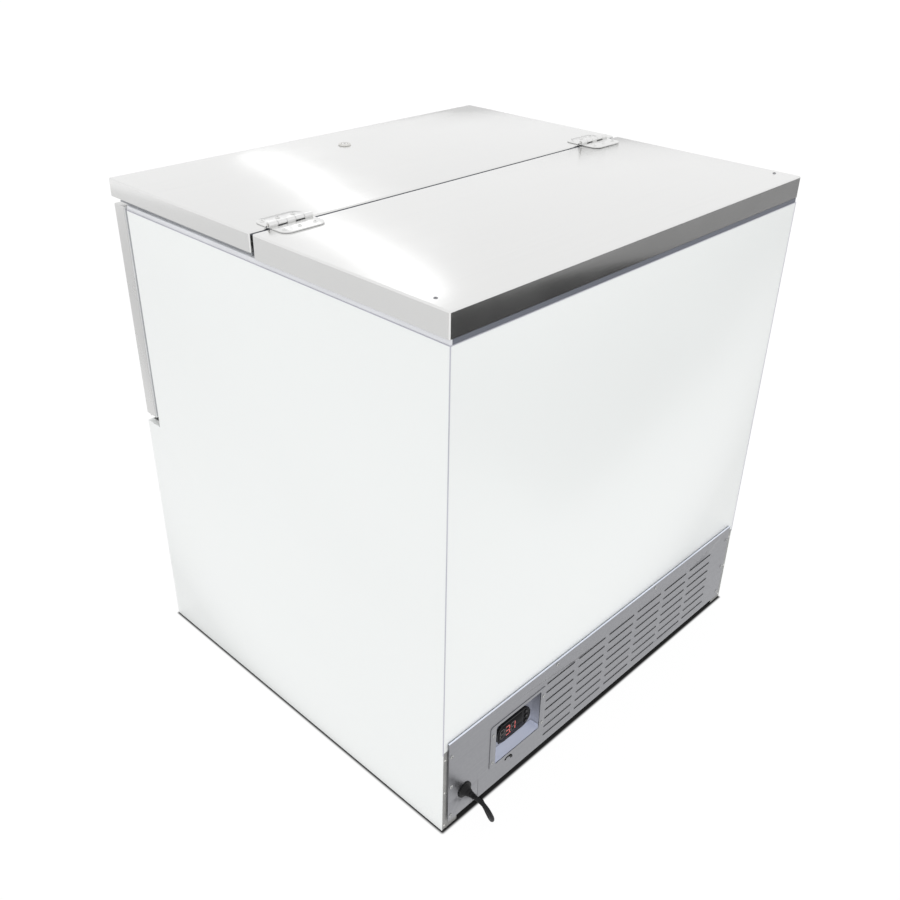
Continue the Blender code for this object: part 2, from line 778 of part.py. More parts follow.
def add_blade(bm, angle):
    """One pitched blade, wider towards its tip."""
    root, tip, half_root, half_tip, half_thick = 0.015, FAN_R, 0.006, 0.024, 0.0009
    pitch = Matrix.Rotation(math.radians(28), 4, "X")
    turn = Matrix.Rotation(angle, 4, "Y")
    corners = []
    for reach, half in ((root, half_root), (tip, half_tip)):
        for across, along in ((-1, -1), (1, -1), (1, 1), (-1, 1)):
            spot = turn @ pitch @ Vector((reach, across * half_thick, along * half))
            corners.append(bm.verts.new(FAN + Vector((0, -0.002, 0)) + spot))
    faces = [(0, 1, 2, 3), (4, 7, 6, 5), (0, 4, 5, 1), (1, 5, 6, 2), (2, 6, 7, 3), (3, 7, 4, 0)]
    for face in faces:
        bm.faces.new([corners[i] for i in face])


def evaporator_tube():
    """Cooling tube wound round the tank, inside the insulation."""
    off = TUBE_SPACE / 2
    x, y_low, y_high = TANK_HIGH.x + off, TANK_LOW.y - off, TANK_HIGH.y + off
    radius, z_low, pitch = 0.0075, 0.285, 0.040
    corners = [(x, y_low, -90), (x, y_high, 0), (-x, y_high, 90), (-x, y_low, 180)]
    points = []
    for turn in range(EVAPORATOR_TURNS):
        for i, (cx, cy, start) in enumerate(corners):
            centre = (cx - math.copysign(radius, cx), cy - math.copysign(radius, cy))
            z = z_low + (turn + i / len(corners)) * pitch
            points += [(px, py, z) for px, py in arc(centre, radius, start, start + 90, 4)]
    tube("evaporator_tube", points, 0.004, "copper")


def drain():
    """Drain pipe through the floor of the tank, and its plug."""
    floor = TANK_LOW.z + SHEET + GAP
    bore, pipe = 0.0085, DRAIN_HOLE_R - 2 * GAP
    profile = [(bore, 0.190), (pipe, 0.190), (pipe, floor), (0.022, floor)]
    profile += [(0.022, floor + 0.002), (bore, floor + 0.002)]
    turned("drain_pipe", profile, DRAIN, (0, 0, 1), "liner_plastic", 20, ring=True)
    stem, top = bore - GAP, floor + 0.002 + GAP
    profile = [(0, floor - 0.015), (stem, floor - 0.015), (stem, top), (0.014, top)]
    profile += [(0.014, top + 0.004), (0.006, top + 0.006), (0, top + 0.006)]
    turned("drain_plug", profile, DRAIN, (0, 0, 1), "black_rubber", 20)


def lid_half(prefix, y_low, y_high, skirt, parent, lock):
    """Steel pan, foam and liner of one half of the lid."""
    low = (-LID_HALF_W, y_low, skirt)
    high = (LID_HALF_W, y_high, LID_TOP)
    inside = SHEET + GAP
    shell = tray(prefix + "_shell", low, high, SHEET, (0, 0, -1), "brushed_steel", parent)
    x, front, back = LID_HALF_W - inside, y_low + inside, y_high - inside
    liner_top = skirt + GAP + LID_LINER
    liner = block(
        prefix + "_liner", (-x, front, skirt + GAP), (x, back, liner_top), "liner_plastic", parent
    )
    foam_top = LID_TOP - inside
    foam = block(
        prefix + "_foam", (-x, front, liner_top + GAP), (x, back, foam_top), "foam", parent
    )
    if lock:
        for piece in (shell, liner, foam):
            start, end = (LOCK_X, LOCK_Y, skirt - 0.02), (LOCK_X, LOCK_Y, LID_TOP + 0.02)
            hole = rod(piece.name + "_lock_hole", start, end, LOCK_BORE, 20)
            combine(piece, hole, "DIFFERENCE")


def ring_outline(half_x, y_low, y_high):
    return [(-half_x, y_low), (half_x, y_low), (half_x, y_high), (-half_x, y_high)]


def front_lid_gasket(parent):
    """Soft seal under the lifting lid."""
    outer, width = 0.431, 0.013
    front, back = -0.3745, -0.008
    loops = [
        ring_outline(outer, front, back),
        ring_outline(outer - width, front + width, back - width),
    ]
    low, high = REAR_SKIRT, FRONT_SKIRT
    extrusion("front_lid_gasket", loops, 2, low, high, "gasket", parent)


def lid_lock(parent):
    """Barrel in the lid, and the plug and cam that turn in it."""
    top = LID_TOP + GAP
    bore = 0.0062
    profile = [(bore, 0.8860), (0.0095, 0.8860), (0.0095, top), (0.0120, top)]
    profile += [(0.0120, top + 0.0015), (0.0105, top + 0.0030), (bore, top + 0.0030)]
    place = Vector((LOCK_X, LOCK_Y, 0))
    turned("lock_barrel", profile, place, (0, 0, 1), "zinc", 24, True, parent)
    turn = pivot("lock_axis", place)
    radius = bore - 2 * GAP
    low = CAM_HIGH + GAP
    profile = [(0, low), (radius, low), (radius, top + 0.0026), (0, top + 0.0026)]
    turned("lock_plug", profile, place, (0, 0, 1), "brushed_steel", 20, False, turn)
    half, reach = 0.008, 0.050
    end = arc((LOCK_X + reach - half, LOCK_Y), half, -90, 90, 7)
    start = arc((LOCK_X, LOCK_Y), half, 90, 270, 7)
    extrusion("lock_cam", [end + start], 2, CAM_LOW, CAM_HIGH, "zinc", turn)


def leaf_outline(side, x_low, x_high, knuckles):
    """A hinge leaf seen from above: round outer corners, and a tab at each of its knuckles."""
    out, r = side * LEAF_OUT, LEAF_CORNER
    centre_y = side * (LEAF_OUT - r)
    inner = []
    for low, high in knuckles:
        inner += [(low, side * LEAF_IN), (low, side * LEAF_TAB)]
        inner += [(high, side * LEAF_TAB), (high, side * LEAF_IN)]
    inner = [(x_low, side * LEAF_IN)] + inner + [(x_high, side * LEAF_IN)]
    steps = zip(inner[1:], inner)
    inner = inner[:1] + [p for p, last in steps if (Vector(p) - Vector(last)).length > 1e-5]
    far = arc((x_high - r, centre_y), r, 0, side * 90, 6)
    near = arc((x_low + r, centre_y), r, side * 90, side * 180, 6)
    return inner + far + near


def knuckle_spans(x_low, x_high, count):
    pitch = (x_high - x_low) / count
    return [
        (x_low + i * pitch + KNUCKLE_GAP / 2, x_low + (i + 1) * pitch - KNUCKLE_GAP / 2)
        for i in range(count)
    ]


def add_knuckles(leaf, spans, axis, radius):
    """Joins the barrel's pieces to a leaf and bores them for the pin."""
    bm = bmesh.new()
    for low, high in spans:
        profile = [(0, 0), (radius, 0), (radius, high - low), (0, high - low)]
        add_lathe(bm, profile, (low, axis.y, axis.z), (1, 0, 0), 12)
    combine(leaf, from_bmesh(leaf.name + "_barrel", bm, "zinc"), "UNION")
    beyond = 0.01
    start = Vector((spans[0][0] - beyond, axis.y, axis.z))
    end = Vector((spans[-1][1] + beyond, axis.y, axis.z))
    combine(leaf, rod(leaf.name + "_bore", start, end, BORE_R), "DIFFERENCE")


def lid_hinge(name, x, lid_pivot):
    """Five-knuckle butt hinge across the split."""
    x_low, x_high = x - LEAF_HALF, x + LEAF_HALF
    spans = knuckle_spans(x_low, x_high, LID_KNUCKLES)
    for side, chosen, part, parent in (
        (1, spans[0::2], "_rear_leaf", None),
        (-1, spans[1::2], "_front_leaf", lid_pivot),
    ):
        outline = leaf_outline(side, x_low, x_high, chosen)
        leaf = extrusion(name + part, [outline], 2, LEAF_LOW, LEAF_HIGH, "brushed_steel", parent)
        add_knuckles(leaf, chosen, LID_AXIS, BARREL_R)
    tip = 0.001
    start, end = Vector((x_low - tip, 0, LID_AXIS.z)), Vector((x_high + tip, 0, LID_AXIS.z))
    pin = rod(name + "_pin", start, end, PIN_R)
    pin.data.materials[0] = finish("zinc")


def door_leaf(name, spans, upper, parent):
    """One leaf of the long hinge: a flat plate, with a web to each of its knuckles."""
    axis = DOOR_AXIS
    sign = 1 if upper else -1
    far, near, web = 0.0077, 0.0063, 0.0020
    plate_z = sorted((axis.z + sign * near, axis.z + sign * far))
    front = axis.y + 0.0085
    leaf = block(
        name,
        (-DOOR_HINGE_X, front, plate_z[0]),
        (DOOR_HINGE_X, DOOR_LEAF_BACK, plate_z[1]),
        "brushed_steel",
        parent,
    )
    web_z = sorted((axis.z + sign * web, axis.z + sign * far))
    bm = bmesh.new()
    for low, high in spans:
        add_box(bm, (low, axis.y - 0.0015, web_z[0]), (high, front + 0.0015, web_z[1]))
    combine(leaf, from_bmesh(name + "_webs", bm, "zinc"), "UNION")
    add_knuckles(leaf, spans, axis, DOOR_BARREL_R)


def door_hinge(parent):
    """Long hinge along the bottom of the drop door."""
    spans = knuckle_spans(-DOOR_HINGE_X, DOOR_HINGE_X, DOOR_KNUCKLES)
    door_leaf("door_hinge_lower_leaf", spans[0::2], False, None)
    door_leaf("door_hinge_upper_leaf", spans[1::2], True, parent)
    start = Vector((-DOOR_HINGE_X - 0.001, DOOR_AXIS.y, DOOR_AXIS.z))
    rod("door_hinge_pin", start, Vector((-start.x, start.y, start.z)), PIN_R)


def drop_door(parent):
    """Steel door pan with foam, a raised liner, and a gasket on three sides."""
    across = 0.4345
    low, high = (-across, FRONT_Y, DOOR_LOW), (across, DOOR_SHELL_Y, DOOR_TOP)
    inside = SHEET + GAP
    tray("door_shell", low, high, SHEET, (0, 1, 0), "brushed_steel", parent)
    x = across - inside
    foam_low = (-x, FRONT_Y + inside, DOOR_LOW + inside)
    foam_high = (x, DOOR_SHELL_Y - GAP, DOOR_TOP - inside)
    block("door_foam", foam_low, foam_high, "foam", parent)
    liner = block(
        "door_liner",
        (-across, DOOR_SHELL_Y + GAP, DOOR_LOW),
        (across, DOOR_LINER_Y, DOOR_TOP),
        "liner_plastic",
        parent,
    )
    plug_x, plug_low, plug_top = 0.345, 0.535, 0.860
    raised = block(
        "door_liner_plug",
        (-plug_x, DOOR_LINER_Y - 0.001, plug_low),
        (plug_x, DOOR_PLUG_Y, plug_top),
        "liner_plastic",
    )
    combine(liner, raised, "UNION")
    outer, width, top = 0.4325, 0.014, 0.880
    low_z = DOOR_LOW + 0.004
    seal = [(-outer, top), (-outer, low_z), (outer, low_z), (outer, top)]
    inner, inner_z = outer - width, low_z + width
    seal += [(inner, top), (inner, inner_z), (-inner, inner_z), (-inner, top)]
    extrusion("door_gasket", [seal], 1, DOOR_LINER_Y + GAP, NOTCH_Y - GAP, "gasket", parent)


def lock_strike(parent):
    """Bent plate on the door, over the lock's cam when that is turned to the front."""
    back = DOOR_LINER_Y + GAP
    thick, drop = 0.0015, 0.0150
    high = CAM_HIGH + 0.001 + thick
    outline = [(back, high), (-0.338, high), (-0.338, high - thick), (back + thick, high - thick)]
    outline += [(back + thick, high - drop), (back, high - drop)]
    extrusion("lock_strike", [outline], 0, LOCK_X - 0.022, LOCK_X + 0.022, "zinc", parent)


def build():
    clear_scene()
    side_panel("side_panel_right", 1)
    side_panel("side_panel_left", -1)
    rear_panel()
    front_lower_panel()
    base_pan()
    rear_post("rear_post_right", 1)
    rear_post("rear_post_left", -1)
    feet()
    storage_tank()
    cabinet_foam()
    front_frame()
    top_rim()
    cross_rail()
    grille_panel()
    cord_cover()
    controller_bezel()
    controller_case()
    controller_keys()
    strain_relief()
    power_cord()
    cord_coil()
    plug()
    compressor()
    condenser_coil()
    fan_unit()
    evaporator_tube()
    drain()
    lid_pivot = pivot("front_lid_axis", LID_AXIS)
    lid_half("rear_lid", LID_SPLIT, LID_REAR_Y, REAR_SKIRT, None, False)
    lid_half("front_lid", LID_FRONT_Y, -LID_SPLIT, FRONT_SKIRT, lid_pivot, True)
    front_lid_gasket(lid_pivot)
    lid_lock(lid_pivot)
    lid_hinge("lid_hinge_right", LID_HINGE_X, lid_pivot)
    lid_hinge("lid_hinge_left", -LID_HINGE_X, lid_pivot)
    door_pivot = pivot("drop_door_axis", DOOR_AXIS)
    drop_door(door_pivot)
    door_hinge(door_pivot)
    lock_strike(door_pivot)


build()
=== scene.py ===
"""Drop-front chest cooler: finished surfaces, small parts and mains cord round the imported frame.

Metres, +Z up, in the frame's own axes: the drop door faces -Y, the service grille faces +Y.
"""

import json
import math

import bmesh
import bpy
from mathutils import Matrix, Quaternion, Vector

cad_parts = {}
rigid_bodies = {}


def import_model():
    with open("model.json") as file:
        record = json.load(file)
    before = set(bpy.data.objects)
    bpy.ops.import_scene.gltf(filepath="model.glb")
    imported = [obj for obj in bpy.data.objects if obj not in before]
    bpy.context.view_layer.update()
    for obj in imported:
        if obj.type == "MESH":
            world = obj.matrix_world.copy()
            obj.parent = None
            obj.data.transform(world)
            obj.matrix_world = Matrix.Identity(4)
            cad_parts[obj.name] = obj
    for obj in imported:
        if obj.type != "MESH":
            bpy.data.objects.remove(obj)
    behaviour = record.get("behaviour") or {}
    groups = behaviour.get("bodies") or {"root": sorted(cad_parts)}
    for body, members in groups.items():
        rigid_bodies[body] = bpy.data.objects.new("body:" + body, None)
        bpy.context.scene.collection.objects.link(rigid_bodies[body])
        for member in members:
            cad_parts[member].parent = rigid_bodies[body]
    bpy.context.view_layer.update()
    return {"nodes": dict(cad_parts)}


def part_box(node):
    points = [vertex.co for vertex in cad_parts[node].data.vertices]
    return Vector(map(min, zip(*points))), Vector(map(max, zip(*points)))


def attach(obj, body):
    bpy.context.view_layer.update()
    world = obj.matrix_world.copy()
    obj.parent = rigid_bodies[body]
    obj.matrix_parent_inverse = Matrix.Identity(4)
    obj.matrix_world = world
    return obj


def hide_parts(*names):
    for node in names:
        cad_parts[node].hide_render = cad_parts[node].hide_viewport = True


bl_info = {
    "name": "Drop-front chest cooler",
    "version": (1, 0, 0),
    "blender": (4, 5, 0),
    "location": "3D View > Sidebar > Cooler",
    "description": "Builds the finished panels, fittings, controller and cord of a chest cooler",
    "category": "Object",
}

for old in list(bpy.data.objects):
    bpy.data.objects.remove(old, do_unlink=True)
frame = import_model()

CABINET, FRONT_LID, DROP_DOOR, LOCK = "cabinet", "front_lid", "drop_door", "lock"
SHEET = 0.001
AXIS_X, AXIS_Y, AXIS_Z = Vector((1, 0, 0)), Vector((0, 1, 0)), Vector((0, 0, 1))


# ---------------------------------------------------------------- settings


def length_setting(name, description, default):
    return bpy.props.FloatProperty(
        name=name, description=description, default=default, unit="LENGTH", precision=5
    )


def colour_setting(name, description, default):
    return bpy.props.FloatVectorProperty(
        name=name, description=description, default=default, subtype="COLOR", min=0.0, max=1.0
    )


def place_setting(name, description, default):
    return bpy.props.FloatVectorProperty(
        name=name, description=description, default=default, subtype="TRANSLATION", precision=5
    )


class StageSettings(bpy.types.PropertyGroup):
    sky: bpy.props.FloatProperty(
        name="Sky", description="Strength of the even white light", default=1.0, min=0.0
    )
    floor_glow: bpy.props.FloatProperty(
        name="Floor glow", description="Light given by the lit floor", default=0.97, min=0.0
    )
    floor_colour: colour_setting("Floor colour", "Colour of the floor", (0.04, 0.04, 0.04))
    # Reach of the floor's painted shadow round the machine's footprint
    painted_shadow_fringe: length_setting("Floor fade", "Reach of the dark fringe round the feet", 0.007)
    floor_radius: length_setting("Floor radius", "Radius of the round floor", 30.0)
    strip_start: place_setting("Strip start", "Near end of the strip light", (-1.20, -1.30, 2.50))
    strip_end: place_setting("Strip end", "Far end of the strip light", (-4.20, -7.15, 2.50))
    strip_width: length_setting("Strip width", "Width of the strip light", 0.22)
    strip_power: bpy.props.FloatProperty(
        name="Strip power", description="Power of the strip light", default=3.4, unit="POWER"
    )
    flag_dark: bpy.props.FloatProperty(
        name="Dark flag", description="Brightness of the dark flag in reflections", default=0.05
    )
    flag_grey: bpy.props.FloatProperty(
        name="Grey flag", description="Brightness of the grey flag in reflections", default=0.27
    )
    flag_pale: bpy.props.FloatProperty(
        name="Pale flag", description="Brightness of the pale flag in reflections", default=0.80
    )


class CameraSettings(bpy.types.PropertyGroup):
    place: place_setting("Place", "Where the camera stands", (1.21732, 1.14205, 1.37706))
    azimuth: bpy.props.FloatProperty(
        name="Azimuth",
        description="Turn round the cooler from its front",
        default=math.radians(133.602),
        subtype="ANGLE",
    )
    elevation: bpy.props.FloatProperty(
        name="Elevation",
        description="Height above the horizon",
        default=math.radians(30.635),
        subtype="ANGLE",
    )
    roll: bpy.props.FloatProperty(
        name="Roll",
        description="Turn about the line of sight",
        default=math.radians(1.061),
        subtype="ANGLE",
    )
    lens: bpy.props.FloatProperty(
        name="Lens", description="Focal length on a 36 mm sensor", default=39.41, unit="CAMERA"
    )


class SheetSettings(bpy.types.PropertyGroup):
    white: colour_setting("White enamel", "Colour of the painted panels", (0.865, 0.885, 0.878))
    steel: colour_setting("Brushed steel", "Colour of the lids and door", (0.80, 0.80, 0.795))
    grille: colour_setting("Grille steel", "Colour of the service grille", (0.285, 0.288, 0.305))
    lid_fold: length_setting("Lid fold", "Bend radius of the lid sheets", 0.0026)
    door_fold: length_setting("Door fold", "Bend radius of the door sheet", 0.0018)
    lock_hole: length_setting("Lock hole", "Radius of the hole for the lock", 0.0099)


class HingeSettings(bpy.types.PropertyGroup):
    leaf_corner: length_setting("Leaf corner", "Radius of a leaf's outer corners", 0.015)
    barrel: length_setting("Barrel", "Radius of the knuckles", 0.0043)
    bore: length_setting("Bore", "Radius of the hole through the knuckles", 0.0021)
    screw_out: length_setting("Screw line", "Distance of the screws from the pin", 0.0265)
    screw_step: length_setting("Screw step", "Distance between the screws of a leaf", 0.028)


class ScrewSettings(bpy.types.PropertyGroup):
    head: length_setting("Head", "Radius of a pan head", 0.0036)
    height: length_setting("Height", "Height of a pan head", 0.0017)
    recess: length_setting("Recess", "Width of the cross recess", 0.0009)


class ControllerSettings(bpy.types.PropertyGroup):
    reading: bpy.props.StringProperty(
        name="Reading", description="Figures on the display", default=" 3.1"
    )
    lit: colour_setting("Lit segments", "Colour of the lit segments", (0.62, 0.10, 0.09))
    unlit: colour_setting("Unlit segments", "Colour of the unlit segments", (0.030, 0.022, 0.022))
    glow: bpy.props.FloatProperty(
        name="Glow", description="Light given by the lit segments", default=0.28, min=0.0
    )
    figure_height: length_setting("Figure height", "Height of a figure", 0.0190)
    figure_step: length_setting("Figure step", "Distance between figures", 0.0140)
    first_figure: length_setting("First figure", "Place of the first figure in X", 0.2815)


class CordSettings(bpy.types.PropertyGroup):
    thickness: length_setting("Thickness", "Diameter of the cord", 0.0075)
    coil_x: length_setting("Coil X", "Middle of the coil in X", 0.2162)
    coil_y: length_setting("Coil Y", "Middle of the coil in Y", -0.465)
    coil_low: length_setting("Coil height", "Height of the lower layer's middle", 0.0046)
    coil_inner: length_setting("Inner turn", "Radius of the innermost turn", 0.0351)
    layer_turns: bpy.props.FloatProperty(
        name="Turns", description="Turns in the lower layer", default=2.0
    )
    turns: bpy.props.FloatProperty(name="All turns", description="Turns in all", default=4.25)


SETTINGS = {
    "cooler_stage": StageSettings,
    "cooler_camera": CameraSettings,
    "cooler_sheet": SheetSettings,
    "cooler_hinge": HingeSettings,
    "cooler_screw": ScrewSettings,
    "cooler_controller": ControllerSettings,
    "cooler_cord": CordSettings,
}


# ---------------------------------------------------------------- finishes


def new_finish(name, colour, roughness, metallic=0.0, **sockets):
    """A material whose Principled shader holds its even values on its own sockets."""
    made = bpy.data.materials.new(name)
    made.use_nodes = True
    shader = made.node_tree.nodes["Principled BSDF"]
    values = {"Base Color": (*colour, 1.0), "Roughness": roughness, "Metallic": metallic}
    values.update({key.replace("_", " "): value for key, value in sockets.items()})
    for socket, value in values.items():
        shader.inputs[socket].default_value = value
    return made


def shader_of(made):
    return made.node_tree.nodes["Principled BSDF"]


def noise(made, stretch, detail=3.0, kind="ShaderNodeTexNoise"):
    """Noise over the piece's own coordinates, with cycles per metre along X, Y and Z."""
    nodes, links = made.node_tree.nodes, made.node_tree.links
    place = nodes.new("ShaderNodeTexCoord")
    scale = nodes.new("ShaderNodeMapping")
    scale.inputs["Scale"].default_value = stretch
    links.new(place.outputs["Object"], scale.inputs["Vector"])
    texture = nodes.new(kind)
    texture.inputs["Scale"].default_value = 1.0
    if "Detail" in texture.inputs:
        texture.inputs["Detail"].default_value = detail
    links.new(scale.outputs["Vector"], texture.inputs["Vector"])
    return texture


def spread(made, value, low, high, start=0.3, end=0.7):
    """The value's middle range, stretched between two results."""
    node = made.node_tree.nodes.new("ShaderNodeMapRange")
    node.inputs["From Min"].default_value = start
    node.inputs["From Max"].default_value = end
    node.inputs["To Min"].default_value = low
    node.inputs["To Max"].default_value = high
    made.node_tree.links.new(value, node.inputs["Value"])
    return node.outputs["Result"]


def tint(made, value, first, second):
    """Colours the piece between two colours."""
    node = made.node_tree.nodes.new("ShaderNodeMix")
    node.data_type = "RGBA"
    node.inputs["A"].default_value = (*first, 1.0)
    node.inputs["B"].default_value = (*second, 1.0)
    made.node_tree.links.new(value, node.inputs["Factor"])
    made.node_tree.links.new(node.outputs["Result"], shader_of(made).inputs["Base Color"])


def vary_roughness(made, value, low, high):
    result = spread(made, value, low, high)
    made.node_tree.links.new(result, shader_of(made).inputs["Roughness"])


def emboss(made, *layers):
    """Bumps, one over the other, each a noise value with its depth in metres."""
    below = None
    for value, depth in layers:
        bump = made.node_tree.nodes.new("ShaderNodeBump")
        bump.inputs["Distance"].default_value = depth
        made.node_tree.links.new(value, bump.inputs["Height"])
        if below:
            made.node_tree.links.new(below, bump.inputs["Normal"])
        below = bump.outputs["Normal"]
    made.node_tree.links.new(below, shader_of(made).inputs["Normal"])


def shade(colour, factor):
    return tuple(min(1.0, channel * factor) for channel in colour)


def white_enamel(name):
    """Baked white paint with a fine orange peel."""
    colour = tuple(bpy.context.scene.cooler_sheet.white)
    made = new_finish(name, colour, 0.34, Coat_Weight=0.15, Coat_Roughness=0.2)
    cloud = noise(made, (1.4, 1.4, 1.4)).outputs["Fac"]
    peel = noise(made, (420, 420, 420), 2.0).outputs["Fac"]
    tint(made, spread(made, cloud, 0.0, 1.0), shade(colour, 0.992), shade(colour, 1.006))
    vary_roughness(made, cloud, 0.30, 0.38)
    emboss(made, (peel, 0.00002), (cloud, 0.0004))
    return made


def brushed(name, colour, streak, rough, waviness=0.0006):
    """Steel sheet with brush lines along one axis and slow waves in its reflections."""
    made = new_finish(name, colour, 0.25, 1.0)
    lines = noise(made, streak, 2.0).outputs["Fac"]
    cloud = noise(made, (2.6, 2.6, 2.6), 1.0).outputs["Fac"]
    smudge = noise(made, (11, 11, 11), 4.0).outputs["Fac"]
    tint(made, spread(made, lines, 0.0, 1.0), shade(colour, 0.984), shade(colour, 1.012))
    vary_roughness(made, smudge, *rough)
    emboss(made, (lines, 0.000006), (cloud, waviness))
    return made


def brushed_steel(name):
    """Lid sheets, brushed along their length."""
    colour = tuple(bpy.context.scene.cooler_sheet.steel)
    return brushed(name, colour, (3.0, 950.0, 950.0), (0.15, 0.20))


def upright_steel(name):
    """Door sheet, brushed up and down."""
    colour = shade(tuple(bpy.context.scene.cooler_sheet.steel), 0.86)
    return brushed(name, colour, (950.0, 950.0, 3.0), (0.24, 0.32))


def tank_steel(name):
    """Duller sheet of the storage tank."""
    colour = shade(tuple(bpy.context.scene.cooler_sheet.steel), 0.95)
    return brushed(name, colour, (3.0, 950.0, 950.0), (0.36, 0.46), 0.0003)


def hinge_steel(name):
    """Pressed hinge leaves, polished a little brighter than the lids."""
    colour = shade(tuple(bpy.context.scene.cooler_sheet.steel), 1.02)
    return brushed(name, colour, (6.0, 700.0, 700.0), (0.16, 0.24), 0.0001)


def grille_steel(name):
    """Dull dark sheet with shallow dents."""
    colour = tuple(bpy.context.scene.cooler_sheet.grille)
    made = new_finish(name, colour, 0.36, 1.0)
    lines = noise(made, (5.0, 800.0, 800.0), 2.0).outputs["Fac"]
    dents = noise(made, (6.5, 6.5, 9.0), 1.0).outputs["Fac"]
    speck = noise(made, (240, 240, 240), 3.0).outputs["Fac"]
    tint(made, spread(made, lines, 0.0, 1.0), shade(colour, 0.95), shade(colour, 1.05))
    vary_roughness(made, speck, 0.30, 0.40)
    emboss(made, (lines, 0.000008), (speck, 0.00001), (dents, 0.0011))
    return made


def galvanised(name):
    """Zinc coated sheet with its crystal pattern."""
    made = new_finish(name, (0.40, 0.41, 0.41), 0.42, 0.9)
    crystals = noise(made, (130, 130, 130), kind="ShaderNodeTexVoronoi").outputs["Color"]
    grey = made.node_tree.nodes.new("ShaderNodeRGBToBW")
    made.node_tree.links.new(crystals, grey.inputs["Color"])
    value = grey.outputs["Val"]
    tint(made, value, (0.33, 0.335, 0.34), (0.50, 0.505, 0.50))
    vary_roughness(made, value, 0.34, 0.50)
    return made


def bright_zinc(name):
    """Plated screws, rivets and lock parts."""
    made = new_finish(name, (0.72, 0.71, 0.68), 0.22, 1.0)
    cloud = noise(made, (160, 160, 160)).outputs["Fac"]
    tint(made, spread(made, cloud, 0.0, 1.0), (0.62, 0.61, 0.58), (0.78, 0.77, 0.75))
    vary_roughness(made, cloud, 0.16, 0.34)
    return made


def copper(name):
    """Drawn tube, darkened here and there by handling and brazing."""
    made = new_finish(name, (0.68, 0.34, 0.20), 0.32, 1.0)
    cloud = noise(made, (22, 22, 22), 5.0).outputs["Fac"]
    tint(made, spread(made, cloud, 0.0, 1.0), (0.40, 0.17, 0.10), (0.76, 0.41, 0.26))
    vary_roughness(made, cloud, 0.24, 0.46)
    return made


def brass(name):
    """Plug blades."""
    made = new_finish(name, (0.70, 0.55, 0.27), 0.26, 1.0)
    cloud = noise(made, (90, 90, 300), 3.0).outputs["Fac"]
    tint(made, spread(made, cloud, 0.0, 1.0), (0.60, 0.46, 0.22), (0.78, 0.64, 0.36))
    vary_roughness(made, cloud, 0.20, 0.36)
    return made


def moulded(name, colour, roughness, grain, depth, **sockets):
    """Moulded plastic or rubber with the grain of its mould."""
    made = new_finish(name, colour, roughness, **sockets)
    skin = noise(made, (grain, grain, grain), 3.0).outputs["Fac"]
    cloud = noise(made, (9, 9, 9), 3.0).outputs["Fac"]
    tint(made, spread(made, cloud, 0.0, 1.0), shade(colour, 0.93), shade(colour, 1.06))
    vary_roughness(made, cloud, roughness - 0.04, roughness + 0.06)
    emboss(made, (skin, depth))
    return made


def rim_plastic(name):
    return moulded(name, (0.72, 0.73, 0.76), 0.30, 600, 0.00002, Coat_Weight=0.2)


def liner_plastic(name):
    return moulded(name, (0.82, 0.83, 0.83), 0.30, 300, 0.00002, Coat_Weight=0.1)


def gasket_rubber(name):
    return moulded(name, (0.40, 0.41, 0.43), 0.55, 500, 0.00003)


def key_mark(name):
    return moulded(name, (0.10, 0.10, 0.10), 0.5, 700, 0.00002)


def black_plastic(name):
    return moulded(name, (0.012, 0.012, 0.013), 0.42, 900, 0.00004, Specular_IOR_Level=0.2)


def bezel_plastic(name):
    """Blue-grey moulding with painted shade: pale on the sill, a painted shadow in the corner behind it
    and painted shade darkening towards the ceiling.
    """
    low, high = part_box("controller_bezel")
    made = new_finish(name, (0.5, 0.53, 0.62), 0.38)
    place = made.node_tree.nodes.new("ShaderNodeTexCoord")
    parts = made.node_tree.nodes.new("ShaderNodeSeparateXYZ")
    made.node_tree.links.new(place.outputs["Object"], parts.inputs["Vector"])
    # Base colour ramp by height: painted shade and a painted shadow line, not the moulding's own colour
    ramp = made.node_tree.nodes.new("ShaderNodeValToRGB")
    rise = spread(made, parts.outputs["Z"], 0.0, 1.0, low.z, high.z)
    made.node_tree.links.new(rise, ramp.inputs["Fac"])
    painted_shade_stops = ramp.color_ramp.elements
    painted_shade_stops[0].position, painted_shade_stops[0].color = 0.13, (0.62, 0.66, 0.80, 1.0)
    painted_shade_stops[1].position, painted_shade_stops[1].color = 0.92, (0.15, 0.155, 0.18, 1.0)
    for position, colour in ((0.155, (0.26, 0.27, 0.32, 1.0)), (0.19, (0.42, 0.44, 0.52, 1.0))):
        painted_shade_stops.new(position).color = colour
    made.node_tree.links.new(ramp.outputs["Color"], shader_of(made).inputs["Base Color"])
    skin = noise(made, (700, 700, 700), 3.0).outputs["Fac"]
    vary_roughness(made, skin, 0.34, 0.44)
    emboss(made, (skin, 0.00002))
    return made


def seam_sealant(name):
    return moulded(name, (0.50, 0.50, 0.56), 0.45, 300, 0.00003)


# Pale blue-white: a painted highlight for the grille's top edge
def painted_highlight_trim(name):
    return moulded(name, (0.80, 0.84, 0.95), 0.35, 300, 0.00003)


# Dark grey: the seal under the lid split, and painted shade on the rim's rear strip
def seal_tape_and_painted_shade(name):
    return moulded(name, (0.13, 0.14, 0.17), 0.6, 260, 0.00005)


def post_zinc(name):
    """Dull zinc paint on the corner posts."""
    made = new_finish(name, (0.50, 0.50, 0.49), 0.50, 0.3)
    cloud = noise(made, (40, 40, 40), 4.0).outputs["Fac"]
    tint(made, spread(made, cloud, 0.0, 1.0), (0.24, 0.24, 0.235), (0.36, 0.36, 0.35))
    vary_roughness(made, cloud, 0.42, 0.56)
    return made


def black_rubber(name):
    return moulded(name, (0.010, 0.010, 0.011), 0.52, 450, 0.00004, Specular_IOR_Level=0.2)


def black_enamel(name):
    return moulded(name, (0.016, 0.016, 0.018), 0.28, 180, 0.00005, Coat_Weight=0.4)


